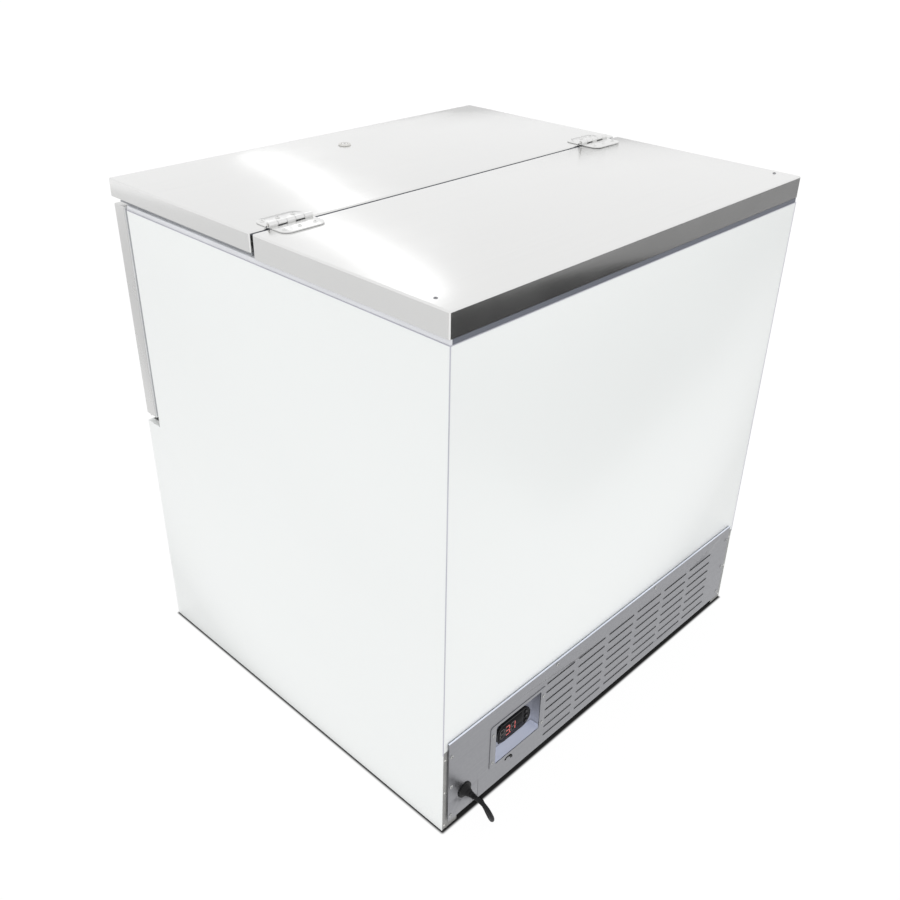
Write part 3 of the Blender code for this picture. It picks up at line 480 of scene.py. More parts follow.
def foam(name):
    """Cut rigid foam with open cells."""
    made = new_finish(name, (0.80, 0.69, 0.42), 0.9)
    cells = noise(made, (520, 520, 520), kind="ShaderNodeTexVoronoi").outputs["Distance"]
    cloud = noise(made, (14, 14, 14), 4.0).outputs["Fac"]
    tint(made, spread(made, cloud, 0.0, 1.0), (0.72, 0.58, 0.30), (0.84, 0.75, 0.50))
    emboss(made, (cells, 0.0005))
    return made


def display_glass(name):
    """Smoked window over the figures."""
    made = new_finish(name, (0.005, 0.005, 0.006), 0.07, Specular_IOR_Level=0.2, IOR=1.2)
    haze = noise(made, (60, 60, 60), 4.0).outputs["Fac"]
    vary_roughness(made, haze, 0.05, 0.12)
    return made


def segment_finish(name, colour, glow):
    made = new_finish(name, colour, 0.3, Emission_Color=(*colour, 1.0), Emission_Strength=glow)
    cloud = noise(made, (700, 700, 700), 1.0).outputs["Fac"]
    tint(made, spread(made, cloud, 0.0, 1.0), shade(colour, 0.85), shade(colour, 1.1))
    return made


def lit_segment(name):
    settings = bpy.context.scene.cooler_controller
    return segment_finish(name, tuple(settings.lit), settings.glow)


def unlit_segment(name):
    return segment_finish(name, tuple(bpy.context.scene.cooler_controller.unlit), 0.0)


MAKERS = (
    white_enamel,
    brushed_steel,
    upright_steel,
    tank_steel,
    hinge_steel,
    grille_steel,
    galvanised,
    bright_zinc,
    copper,
    brass,
    rim_plastic,
    liner_plastic,
    gasket_rubber,
    key_mark,
    black_plastic,
    bezel_plastic,
    seam_sealant,
    painted_highlight_trim,
    seal_tape_and_painted_shade,
    post_zinc,
    black_rubber,
    black_enamel,
    foam,
    display_glass,
    lit_segment,
    unlit_segment,
)


def finish(name):
    """The finish of this name, made when it is first asked for."""
    found = bpy.data.materials.get("cooler_" + name)
    if found:
        return found
    maker = {m.__name__: m for m in MAKERS}[name]
    return maker("cooler_" + name)


# ---------------------------------------------------------------- shaping


def arc(centre, radius, start, end, count):
    """Points on a circle between two angles in degrees, both ends included."""
    angles = [math.radians(start + (end - start) * i / (count - 1)) for i in range(count)]
    return [(centre[0] + radius * math.cos(a), centre[1] + radius * math.sin(a)) for a in angles]


def round_rectangle(low, high, radius, count=6):
    """A flat rectangle's outline with round corners, anticlockwise."""
    corners = (
        (high[0] - radius, low[1] + radius, -90),
        (high[0] - radius, high[1] - radius, 0),
        (low[0] + radius, high[1] - radius, 90),
        (low[0] + radius, low[1] + radius, 180),
    )
    points = []
    for x, y, start in corners:
        points += arc((x, y), radius, start, start + 90, count)
    return points


def oblong(centre, half_width, half_height, count=14):
    """A flat outline with half-round ends."""
    reach = half_width - half_height
    right = arc((centre[0] + reach, centre[1]), half_height, -90, 90, count)
    return right + arc((centre[0] - reach, centre[1]), half_height, 90, 270, count)


def lift(point, axis, level):
    """A flat point set at a level along an axis."""
    spot = [point[0], point[1]]
    spot.insert(axis, level)
    return Vector(spot)


def add_plate(bm, loops, axis, low, high):
    """A flat plate with any holes in it, between two levels along an axis."""
    edges = []
    for loop in loops:
        ring = [bm.verts.new(lift(point, axis, low)) for point in loop]
        edges += [bm.edges.new(pair) for pair in zip(ring, ring[1:] + ring[:1])]
    filled = bmesh.ops.triangle_fill(bm, use_beauty=True, use_dissolve=False, edges=edges)["geom"]
    faces = [item for item in filled if isinstance(item, bmesh.types.BMFace)]
    pushed = bmesh.ops.extrude_face_region(bm, geom=faces)["geom"]
    moved = [item for item in pushed if isinstance(item, bmesh.types.BMVert)]
    bmesh.ops.translate(bm, vec=lift((0, 0), axis, high - low), verts=moved)


def add_box(bm, low, high):
    low, high = Vector(low), Vector(high)
    shape = Matrix.Translation((low + high) / 2) @ Matrix.Diagonal((*(high - low), 1.0))
    bmesh.ops.create_cube(bm, size=1.0, matrix=shape)


def add_rings(bm, rings, close_start=True, close_end=True):
    """A skin over rings of points, one after the other."""
    rows = [[bm.verts.new(point) for point in ring] for ring in rings]
    for row, above in zip(rows, rows[1:]):
        count = len(row)
        for i in range(count):
            j = (i + 1) % count
            bm.faces.new((row[i], row[j], above[j], above[i]))
    if close_start:
        bm.faces.new(rows[0][::-1])
    if close_end:
        bm.faces.new(rows[-1])


def turned_rings(profile, place, axis, steps):
    """Rings of points for a profile of (radius, height) pairs turned round an axis."""
    turn = AXIS_Z.rotation_difference(Vector(axis)).to_matrix()
    rings = []
    for radius, height in profile:
        ring = []
        for i in range(steps):
            angle = 2 * math.pi * i / steps
            spot = Vector((radius * math.cos(angle), radius * math.sin(angle), height))
            ring.append(Vector(place) + turn @ spot)
        rings.append(ring)
    return rings


def add_turned(bm, profile, place, axis, steps=32):
    """A solid turned shape; its first and last radii are closed with flat faces."""
    add_rings(bm, turned_rings(profile, place, axis, steps))


def add_sweep(bm, path, section, across, closed=False):
    """Runs a flat section along a flat path with mitred corners.

    A section point is (distance to the path's left, distance along the across axis).
    """
    across = Vector(across)
    count = len(path)
    rows = []
    for i, point in enumerate(path):
        before = path[i - 1] if closed or i else None
        after = path[(i + 1) % count] if closed or i < count - 1 else None
        ways = [(a - b).normalized() for a, b in ((after, point), (point, before)) if a and b]
        sides = [across.cross(way).normalized() for way in ways]
        side = sum(sides, Vector()).normalized()
        side /= max(side.dot(sides[0]), 0.2)
        rows.append([bm.verts.new(point + side * s + across * t) for s, t in section])
    pairs = list(zip(rows, rows[1:]))
    if closed:
        pairs.append((rows[-1], rows[0]))
    for row, after in pairs:
        for i in range(len(row)):
            j = (i + 1) % len(row)
            bm.faces.new((row[i], row[j], after[j], after[i]))
    if not closed:
        bm.faces.new(rows[0][::-1])
        bm.faces.new(rows[-1])


def soften(bm, width, segments=2, angle=35.0):
    """Rounds the edges that are sharper than an angle."""
    limit = math.radians(angle)
    sharp = [e for e in bm.edges if e.is_manifold and e.calc_face_angle(0.0) > limit]
    bmesh.ops.bevel(
        bm,
        geom=sharp,
        offset=width,
        offset_type="OFFSET",
        segments=segments,
        profile=0.5,
        affect="EDGES",
        clamp_overlap=True,
    )


def make_piece(name, bm, coat, body, replaces=(), angle=32.0):
    """Turns the shape into a piece that rides on a body."""
    bmesh.ops.recalc_face_normals(bm, faces=bm.faces[:])
    mesh = bpy.data.meshes.new(name)
    bm.to_mesh(mesh)
    bm.free()
    mesh.shade_smooth()
    mesh.set_sharp_from_angle(angle=math.radians(angle))
    mesh.materials.append(finish(coat))
    obj = bpy.data.objects.new(name, mesh)
    bpy.context.scene.collection.objects.link(obj)
    return settle(obj, body, replaces)


def settle(obj, body, replaces=()):
    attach(obj, body)
    if replaces:
        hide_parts(*replaces)
    return obj


def carve(obj, cutter_mesh):
    """Cuts a shape out of a piece and keeps the result as its mesh."""
    cutter = bpy.data.objects.new("cutter", cutter_mesh)
    bpy.context.scene.collection.objects.link(cutter)
    cut = obj.modifiers.new("carve", "BOOLEAN")
    cut.operation = "DIFFERENCE"
    cut.solver = "EXACT"
    cut.object = cutter
    cutter.hide_render = True
    bpy.context.view_layer.update()
    graph = bpy.context.evaluated_depsgraph_get()
    shaped = bpy.data.meshes.new_from_object(obj.evaluated_get(graph))
    obj.modifiers.clear()
    obj.data = shaped
    bpy.data.objects.remove(cutter)


def cutter_from(bm):
    bmesh.ops.recalc_face_normals(bm, faces=bm.faces[:])
    mesh = bpy.data.meshes.new("cutter")
    bm.to_mesh(mesh)
    bm.free()
    return mesh


def dress(node, coat, body, edge=0.0):
    """The frame's own part with clean faces, softened edges and its finish."""
    bm = bmesh.new()
    bm.from_mesh(frame["nodes"][node].data)
    bmesh.ops.remove_doubles(bm, verts=bm.verts[:], dist=1e-6)
    if edge:
        limit = math.radians(1.0)
        bmesh.ops.dissolve_limit(bm, angle_limit=limit, verts=bm.verts[:], edges=bm.edges[:])
        soften(bm, edge)
    return make_piece(node + "_part", bm, coat, body, (node,))


def dress_all(nodes, coat, body, edge=0.0):
    for node in nodes:
        dress(node, coat, body, edge)


def add_pan(bm, low, high, fold, open_way, wall=SHEET):
    """A folded sheet box with round bends, open on one side."""
    shell = bmesh.new()
    add_box(shell, low, high)
    shell.normal_update()
    open_faces = [f for f in shell.faces if f.normal.dot(Vector(open_way)) > 0.9]
    bmesh.ops.delete(shell, geom=open_faces, context="FACES_ONLY")
    folds = [e for e in shell.edges if not e.is_boundary]
    bmesh.ops.bevel(
        shell, geom=folds, offset=fold, segments=5, profile=0.5, affect="EDGES", clamp_overlap=True
    )
    bmesh.ops.recalc_face_normals(shell, faces=shell.faces[:])
    centre = (Vector(low) + Vector(high)) / 2
    probe = shell.faces[0]
    if probe.normal.dot(probe.calc_center_median() - centre) < 0:
        bmesh.ops.reverse_faces(shell, faces=shell.faces[:])
    bmesh.ops.solidify(shell, geom=shell.faces[:], thickness=wall)
    mesh = bpy.data.meshes.new("pan")
    shell.to_mesh(mesh)
    shell.free()
    bm.from_mesh(mesh)
    bpy.data.meshes.remove(mesh)


# ---------------------------------------------------------------- fasteners


def dome_profile(radius, seat, rise, steps):
    """Quarter round from the rim up towards the crown, for turning."""
    angles = [0.5 * math.pi * i / steps for i in range(steps)]
    return [(radius * math.cos(a), seat + rise * math.sin(a)) for a in angles]


def screw_head():
    """One pan head with a cross recess, standing on the origin along +Z."""
    settings = bpy.context.scene.cooler_screw
    r, h = settings.head, settings.height
    bm = bmesh.new()
    dome = dome_profile(r, 0.35 * h, 0.65 * h, 6)
    add_turned(bm, [(r, 0.0), *dome, (0.0002, h)], (0, 0, 0), (0, 0, 1), 20)
    bmesh.ops.recalc_face_normals(bm, faces=bm.faces[:])
    mesh = bpy.data.meshes.new("screw_head")
    bm.to_mesh(mesh)
    bm.free()
    head = bpy.data.objects.new("screw_head", mesh)
    bpy.context.scene.collection.objects.link(head)
    half = settings.recess / 2
    for reach_x, reach_y in ((0.55 * r, half), (half, 0.55 * r)):
        cutter = bmesh.new()
        add_box(cutter, (-reach_x, -reach_y, 0.45 * h), (reach_x, reach_y, 2 * h))
        carve(head, cutter_from(cutter))
    shaped = head.data
    bpy.data.objects.remove(head)
    return shaped


def screws(name, places, axis, body, coat="bright_zinc", scale=1.0):
    """Like screws as one piece, each turned a little further than the last."""
    head = screw_head()
    turn = AXIS_Z.rotation_difference(Vector(axis)).to_matrix().to_4x4()
    step = math.radians(37)
    bm = bmesh.new()
    for i, place in enumerate(places):
        one = head.copy()
        spin = Matrix.Rotation(i * step, 4, "Z")
        size = Matrix.Scale(scale, 4)
        one.transform(Matrix.Translation(Vector(place)) @ turn @ spin @ size)
        bm.from_mesh(one)
        bpy.data.meshes.remove(one)
    bpy.data.meshes.remove(head)
    return make_piece(name, bm, coat, body)


def rivets(name, places, axis, radius, body):
    """Low round rivet heads as one piece."""
    rise = 0.4 * radius
    dome = dome_profile(radius, 0.0, rise, 5)
    bm = bmesh.new()
    for place in places:
        add_turned(bm, [*dome, (0.0002, rise)], place, axis, 18)
    return make_piece(name, bm, "bright_zinc", body)


# ---------------------------------------------------------------- stage and camera


def add_flag(name, corners, brightness):
    """A card that only reflections see."""
    mesh = bpy.data.meshes.new(name)
    mesh.from_pydata([Vector(c) for c in corners], [], [(0, 1, 2, 3)])
    made = bpy.data.materials.new(name)
    made.use_nodes = True
    nodes = made.node_tree.nodes
    nodes.remove(nodes["Principled BSDF"])
    glow = nodes.new("ShaderNodeEmission")
    glow.inputs["Color"].default_value = (brightness, brightness, brightness, 1.0)
    made.node_tree.links.new(glow.outputs["Emission"], nodes["Material Output"].inputs["Surface"])
    mesh.materials.append(made)
    flag = bpy.data.objects.new(name, mesh)
    bpy.context.scene.collection.objects.link(flag)
    flag.visible_camera = False
    flag.visible_diffuse = False
    flag.visible_shadow = False
    flag.visible_transmission = False
    flag.visible_volume_scatter = False


def floor_with_painted_shadow(settings):
    """A floor that glows as if lit from below, with a painted shadow: dark under the machine, with a
    soft fringe round it.
    """
    colour = tuple(settings.floor_colour)
    made = new_finish("floor", colour, 0.85, Specular_IOR_Level=0.1)
    nodes, links = made.node_tree.nodes, made.node_tree.links
    low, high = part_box("base_pan")
    wide, deep = high.x - low.x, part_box("rear_panel")[1].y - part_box("front_lower_panel")[0].y
    middle = (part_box("rear_panel")[1].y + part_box("front_lower_panel")[0].y) / 2
    value = nodes.new("ShaderNodeTexCoord").outputs["Object"]
    steps = (
        ("SUBTRACT", (0.0, middle, 0.0)),
        ("ABSOLUTE", None),
        ("SUBTRACT", (wide / 2, deep / 2, 1.0)),
        ("MAXIMUM", (0.0, 0.0, 0.0)),
        ("LENGTH", None),
    )
    for operation, operand in steps:
        step = nodes.new("ShaderNodeVectorMath")
        step.operation = operation
        links.new(value, step.inputs[0])
        if operand:
            step.inputs[1].default_value = operand
        value = step.outputs["Value" if operation == "LENGTH" else "Vector"]
    # Painted shadow: the floor's glow is cut off over the machine's footprint and rises again over a
    # short fringe
    painted_shadow_fade = nodes.new("ShaderNodeMapRange")
    painted_shadow_fade.interpolation_type = "SMOOTHERSTEP"
    painted_shadow_fade.inputs["From Max"].default_value = settings.painted_shadow_fringe
    painted_shadow_fade.inputs["To Max"].default_value = settings.floor_glow
    links.new(value, painted_shadow_fade.inputs["Value"])
    shader_of(made).inputs["Emission Color"].default_value = (1.0, 1.0, 1.0, 1.0)
    links.new(painted_shadow_fade.outputs["Result"], shader_of(made).inputs["Emission Strength"])
    cloud = noise(made, (0.8, 0.8, 0.8)).outputs["Fac"]
    tint(made, spread(made, cloud, 0.0, 1.0), shade(colour, 0.9), shade(colour, 1.1))
    return made


def build_stage(scene):
    settings = scene.cooler_stage
    scene.view_settings.view_transform = "Standard"
    world = bpy.data.worlds.new("studio")
    world.use_nodes = True
    sky = world.node_tree.nodes["Background"]
    sky.inputs["Color"].default_value = (1.0, 1.0, 1.0, 1.0)
    sky.inputs["Strength"].default_value = settings.sky
    scene.world = world

    bm = bmesh.new()
    bmesh.ops.create_circle(bm, cap_ends=True, segments=96, radius=settings.floor_radius)
    mesh = bpy.data.meshes.new("floor")
    bm.to_mesh(mesh)
    bm.free()
    floor = bpy.data.objects.new("floor", mesh)
    scene.collection.objects.link(floor)
    mesh.materials.append(floor_with_painted_shadow(settings))

    start, end = Vector(settings.strip_start), Vector(settings.strip_end)
    light = bpy.data.lights.new("strip", "AREA")
    light.shape = "RECTANGLE"
    light.size, light.size_y = (end - start).length, settings.strip_width
    light.energy = settings.strip_power
    strip = bpy.data.objects.new("strip", light)
    scene.collection.objects.link(strip)
    middle = (start + end) / 2
    along = (end - start).normalized()
    lid_middle = Vector((0.25, 0.0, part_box("rear_lid_shell")[1].z))
    away = (middle - lid_middle).normalized()
    away = (away - along * away.dot(along)).normalized()
    strip.matrix_world = Matrix.Translation(middle) @ Matrix(
        (along, away.cross(along), away)
    ).transposed().to_4x4()
    strip.visible_camera = False

    low, near, far = 0.001, 0.95, 4.6
    split, end = -2.15, -0.35
    dark = [(split, near, low), (end, near, low), (end, far, low), (split, far, low)]
    grey = [(-7.0, near, low), (split, near, low), (split, far, low), (-7.0, far, low)]
    pale = [(0.8, -4.0, low), (5.0, -4.0, low), (5.0, 0.6, low), (0.8, 0.6, low)]
    add_flag("dark_flag", dark, settings.flag_dark)
    add_flag("grey_flag", grey, settings.flag_grey)
    add_flag("pale_flag", pale, settings.flag_pale)


def build_camera(scene):
    settings = scene.cooler_camera
    data = bpy.data.cameras.new("camera")
    data.lens = settings.lens
    data.sensor_width = 36.0
    camera = bpy.data.objects.new("camera", data)
    scene.collection.objects.link(camera)
    a, e = settings.azimuth, settings.elevation
    back = Vector((math.sin(a) * math.cos(e), -math.cos(a) * math.cos(e), math.sin(e)))
    camera.rotation_mode = "QUATERNION"
    camera.location = settings.place
    level = (-back).to_track_quat("-Z", "Y")
    camera.rotation_quaternion = level @ Quaternion((0, 0, 1), settings.roll)
    scene.camera = camera


# ---------------------------------------------------------------- mains cord

# From the bush, down to the floor, under the machine and out in front of it
CORD_ROUTE = [
    (0.3870, 0.4201, 0.0675),
    (0.3870, 0.4295, 0.0675),
    (0.3861, 0.4392, 0.0647),
    (0.3840, 0.4470, 0.0570),
    (0.3806, 0.4512, 0.0455),
    (0.3757, 0.4512, 0.0322),
    (0.3700, 0.4470, 0.0195),
    (0.3637, 0.4385, 0.0100),
    (0.3567, 0.4265, 0.0051),
    (0.3490, 0.4110, 0.0039),
    (0.3380, 0.3830, 0.0039),
    (0.3240, 0.3300, 0.0039),
    (0.3060, 0.2200, 0.0039),
    (0.2900, 0.0900, 0.0039),
    (0.2800, -0.0500, 0.0039),
    (0.2730, -0.1900, 0.0039),
    (0.2680, -0.3200, 0.0039),
    (0.2663, -0.3950, 0.0040),
    (0.2663, -0.4370, 0.0044),
]


def catmull(a, b, c, d, t):
    return 0.5 * (
        2 * b + (c - a) * t + (2 * a - 5 * b + 4 * c - d) * t**2 + (3 * b - a - 3 * c + d) * t**3
    )


def smooth_through(route, parts):
    """A fine line of points on one smooth curve through the route's own points."""
    knots = [Vector(point) for point in route]
    knots = [2 * knots[0] - knots[1], *knots, 2 * knots[-1] - knots[-2]]
    line = []
    for a, b, c, d in zip(knots, knots[1:], knots[2:], knots[3:]):
        line += [catmull(a, b, c, d, i / parts) for i in range(parts)]
    return [*line, knots[-2]]


def coil_radius(settings, turn):
    """Radius of the strand after this many turns, least where the layers meet."""
    past, ease = turn - settings.layer_turns, 0.1
    return settings.coil_inner + settings.thickness * (math.sqrt(past**2 + ease**2) - ease)


def coil_points(settings):
    """Two flat layers, one wound inwards on the floor and one back outwards on top of it."""
    steps, pitch = 36, settings.thickness
    points = []
    for i in range(1, round(settings.turns * steps) + 1):
        turn = i / steps
        radius = coil_radius(settings, turn)
        rise = min(max((turn - settings.layer_turns + 0.15) / 0.30, 0.0), 1.0)
        height = settings.coil_low + pitch * rise * rise * (3 - 2 * rise)
        angle = -2 * math.pi * turn
        x = settings.coil_x + radius * math.cos(angle)
        y = settings.coil_y + radius * math.sin(angle)
        points.append(Vector((x, y, height)))
    return points


def plug_start():
    low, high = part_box("plug")
    return Vector((high.x, (low.y + high.y) / 2, (low.z + high.z) / 2))


def build_cord(scene):
    """Cord, bush, tie and plug."""
    settings = scene.cooler_cord
    start = plug_start()
    into_plug = [start + Vector((0.008, 0, -0.0003)), start + Vector((-0.004, 0, 0))]
    points = smooth_through(CORD_ROUTE, 8) + coil_points(settings) + into_plug
    data = bpy.data.curves.new("mains_cord", "CURVE")
    data.dimensions = "3D"
    data.bevel_depth = settings.thickness / 2
    data.bevel_resolution = 5
    data.use_fill_caps = True
    line = data.splines.new("POLY")
    line.points.add(len(points) - 1)
    for spot, point in zip(line.points, points):
        spot.co = (*point, 1.0)
    line.use_smooth = True
    data.materials.append(finish("black_rubber"))
    cord = bpy.data.objects.new("mains_cord", data)
    scene.collection.objects.link(cord)
    settle(cord, CABINET, ("power_cord", "cord_coil"))
    pieces = [build_bush(), build_tie(settings), *build_plug(start)]


def build_bush():
    """Bell-shaped rubber bush round the cord, with slits that let it flex."""
    low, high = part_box("strain_relief")
    middle = Vector(((low.x + high.x) / 2, 0.0, (low.z + high.z) / 2))
    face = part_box("grille_panel")[1].y + 0.0005
    flange, neck, end = (high.x - low.x) / 2, 0.0130, CORD_ROUTE[0][1] + 0.0004
    profile = [(neck, low.y), (neck, face), (flange, face), (flange, face + 0.0012)]
    end_radius, shoulder = 0.0049, 0.0118
    steps = 12
    for i in range(steps + 1):
        share = i / steps
        bell = end_radius + (shoulder - end_radius) * (1 - share) ** 2.2
        groove = 0.0006 if i in (4, 7, 10) else 0.0
        profile.append((bell - groove, face + 0.0016 + (end - face - 0.0016) * share))
    profile.append((0.0038, end))
    bm = bmesh.new()
    add_turned(bm, profile, middle, AXIS_Y, 36)
    return make_piece("cord_bush", bm, "black_rubber", CABINET, ("strain_relief",))


def build_tie(settings):
    """Flat band round the coil's strands."""
    angle, half_width, thick = math.radians(150), 0.004, 0.0006
    part_turn = 1 - angle / (2 * math.pi)
    strands = [coil_radius(settings, part_turn + whole) for whole in range(4)]
    out = Vector((math.cos(angle), math.sin(angle), 0))
    along = Vector((-out.y, out.x, 0))
    r = settings.thickness / 2
    low = (min(strands) - r - 0.0004, settings.coil_low - r - 0.00015)
    high = (max(strands) + r + 0.0004, settings.coil_low + settings.thickness + r + 0.0002)
    inside = round_rectangle(low, high, r, 8)
    outside = round_rectangle(
        (low[0] - thick, low[1] - thick), (high[0] + thick, high[1] + thick), r + thick, 8
    )
    centre = Vector((settings.coil_x, settings.coil_y, 0))

    def ring(loop, side):
        return [centre + out * p[0] + AXIS_Z * p[1] + along * side for p in loop]

    sides = ((outside, -half_width), (outside, half_width), (inside, half_width))
    bm = bmesh.new()
    rings = [ring(loop, side) for loop, side in sides] + [ring(inside, -half_width)]
    add_rings(bm, [*rings, rings[0]], False, False)
    bmesh.ops.remove_doubles(bm, verts=bm.verts[:], dist=1e-6)
    return make_piece("cord_tie", bm, "black_plastic", CABINET)


def build_plug(start):
    """Moulded grip with a ribbed tail, two blades and an earth pin."""

    def section(x, half_y, half_z, power):
        points = []
        for i in range(40):
            angle = 2 * math.pi * i / 40
            c, s = math.cos(angle), math.sin(angle)
            y = half_y * math.copysign(abs(c) ** (2 / power), c)
            z = half_z * math.copysign(abs(s) ** (2 / power), s)
            points.append(start + Vector((-x, y, z)))
        return points

    rings = [section(-0.0006, 0.0041, 0.0041, 2.0)]
    ribs = 5
    for i in range(ribs):
        x = i * 0.0022
        grow = 0.00035 * i
        rings.append(section(x, 0.0052 + grow, 0.0052 + grow, 2.0))
        rings.append(section(x + 0.0013, 0.0052 + grow, 0.0052 + grow, 2.0))
        rings.append(section(x + 0.0014, 0.0044 + grow, 0.0044 + grow, 2.0))
        rings.append(section(x + 0.0021, 0.0044 + grow, 0.0044 + grow, 2.0))
    body = (
        (0.0125, 0.0068, 0.0068, 2.1),
        (0.0165, 0.0098, 0.0090, 2.3),
        (0.0205, 0.0116, 0.0106, 2.6),
        (0.0270, 0.0112, 0.0100, 2.8),
        (0.0330, 0.0113, 0.0102, 2.8),
        (0.0400, 0.0122, 0.0116, 2.6),
        (0.0455, 0.0125, 0.0124, 2.5),
        (0.0474, 0.0125, 0.0124, 2.5),
        (0.0480, 0.0120, 0.0119, 2.5),
    )
    rings += [section(*row) for row in body]
    bm = bmesh.new()
    add_rings(bm, rings)
    grip = make_piece("plug_grip", bm, "black_rubber", CABINET, ("plug",))
    face = 0.0475
    bm = bmesh.new()
    for y in (-0.0064, 0.0064):
        low = start + Vector((-face - 0.0165, y - 0.00075, 0.0005))
        hole = arc((low.x + 0.0032, low.z + 0.0031), 0.0016, 0, 337.5, 16)
        outline = round_rectangle((low.x, low.z), (low.x + 0.0170, low.z + 0.0062), 0.0009, 4)
        add_plate(bm, [outline, hole], 1, low.y, low.y + 0.0015)
    soften(bm, 0.0002, 2, 60)
    tip = [(0.0024, 0), (0.0024, 0.0185), (0.0021, 0.0195), (0.0014, 0.0201), (0.0004, 0.0203)]
    add_turned(bm, tip, start + Vector((-face + 0.0005, 0, -0.0062)), -AXIS_X, 24)
    blades = make_piece("plug_blades", bm, "brass", CABINET)
    return [grip, blades]


# ---------------------------------------------------------------- panels and structure


def build_panels(scene):
    """Painted walls, rim, posts, base and feet."""
    walls = ("side_panel_right", "side_panel_left", "rear_panel", "front_lower_panel")
    dress_all(walls, "white_enamel", CABINET, 0.0003)
    dress("top_rim", "rim_plastic", CABINET, 0.0012)
    dress("cross_rail", "brushed_steel", CABINET, 0.0012)
    dress("base_pan", "galvanised", CABINET, 0.0003)
    posts = ("rear_post_left", "rear_post_right")
    dress_all(posts, "post_zinc", CABINET, 0.0003)
    feet = [f"foot_{end}_{side}" for end in ("front", "rear") for side in ("left", "right")]
    dress_all(feet, "black_rubber", CABINET, 0.0006)
    for side in (-1, 1):
        name = "right" if side > 0 else "left"
        x = side * 0.4297
        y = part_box(f"rear_post_{name}")[1].y
        places = [(x, y, z) for z in (0.012, 0.090, 0.165)]
        rivets(f"post_rivets_{name}", places, AXIS_Y, 0.0022, CABINET)
    build_seams()


def bead_section(radius):
    turns = [math.pi * i / 5 for i in range(10)]
    return [(radius * math.cos(a), radius * math.sin(a)) for a in turns]


def build_seams():
    """Sealant up the rear corners, a pale bead on the grille as a painted highlight and a dark strip of
    painted shade under the fixed lid.
    """
    rear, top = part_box("rear_panel")[1].y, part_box("rear_panel")[1].z
    grille_low, grille_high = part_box("grille_panel")
    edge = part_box("side_panel_right")[1].x
    bead = 0.0009
    bm = bmesh.new()
    for side in (-1, 1):
        x = side * (edge - bead * 0.6)
        path = [Vector((x, rear - bead * 0.5, z)) for z in (grille_high.z - 0.02, top)]
        add_sweep(bm, path, bead_section(bead), AXIS_X)
    make_piece("corner_seams", bm, "seam_sealant", CABINET)
    thin = 0.0007
    level, out, back = top + thin / 2, edge - thin / 2, rear - thin / 2
    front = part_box("front_frame")[0].y
    path = [Vector(p) for p in ((out, front, level), (out, back, level))]
    path += [Vector((-p.x, p.y, p.z)) for p in reversed(path)]
    bm = bmesh.new()
    add_sweep(bm, path, bead_section(thin), AXIS_Z)
    make_piece("rim_bead", bm, "seam_sealant", CABINET)
    # A pale bead along the grille's top edge: a painted highlight standing in for the flange's
    # reflection
    highlight_radius = 0.0014
    bm = bmesh.new()
    path = [
        Vector((x, grille_high.y - highlight_radius, grille_high.z + highlight_radius * 0.2))
        for x in (grille_low.x, grille_high.x)
    ]
    add_sweep(bm, path, bead_section(highlight_radius), AXIS_Z)
    make_piece("grille_top_highlight", bm, "painted_highlight_trim", CABINET)
    # A dark strip on the rim's rear face: painted shade standing in for the shadow under the fixed lid
    rim_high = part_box("top_rim")[1]
    bm = bmesh.new()
    thick = 0.0006
    add_box(
        bm,
        (-edge + 0.004, rim_high.y - thick, top + 0.0016),
        (edge - 0.004, rim_high.y + thick, rim_high.z - 0.0001),
    )
    soften(bm, 0.0003)
    make_piece("rear_shade_strip", bm, "seal_tape_and_painted_shade", CABINET)
    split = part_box("rear_lid_shell")
    bm = bmesh.new()
    add_box(
        bm,
        (split[0].x + 0.005, split[0].y - 0.0068, split[1].z - 0.0055),
        (split[1].x - 0.005, split[0].y + 0.0004, split[1].z - 0.0028),
    )
    soften(bm, 0.0009, 3)
    make_piece("split_seal", bm, "seal_tape_and_painted_shade", CABINET)


def build_storage(scene):
    """Tank, throat, insulation, evaporator and drain."""
    dress("storage_tank", "tank_steel", CABINET)
    dress("front_frame", "liner_plastic", CABINET, 0.0004)
    dress("cabinet_foam", "foam", CABINET)
    build_mouth_caps()
    dress("evaporator_tube", "copper", CABINET)
    dress("drain_pipe", "liner_plastic", CABINET, 0.0005)
    dress("drain_plug", "black_rubber", CABINET, 0.0008)


def build_mouth_caps():
    """Two small trims that close the insulation beside the rim's front ends."""
    inner, outer = 0.3530, 0.3738
    front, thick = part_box("front_frame")[0].y + 0.0004, 0.0007
    back, level = front + 0.0200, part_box("front_frame")[1].z + 0.0002
    bm = bmesh.new()
    for side in (-1, 1):
        ends = sorted((side * inner, side * outer))
        add_box(bm, (ends[0], front, level), (ends[1], back, level + thick))
    soften(bm, 0.0003)
    make_piece("mouth_caps", bm, "liner_plastic", CABINET)


# ---------------------------------------------------------------- lids


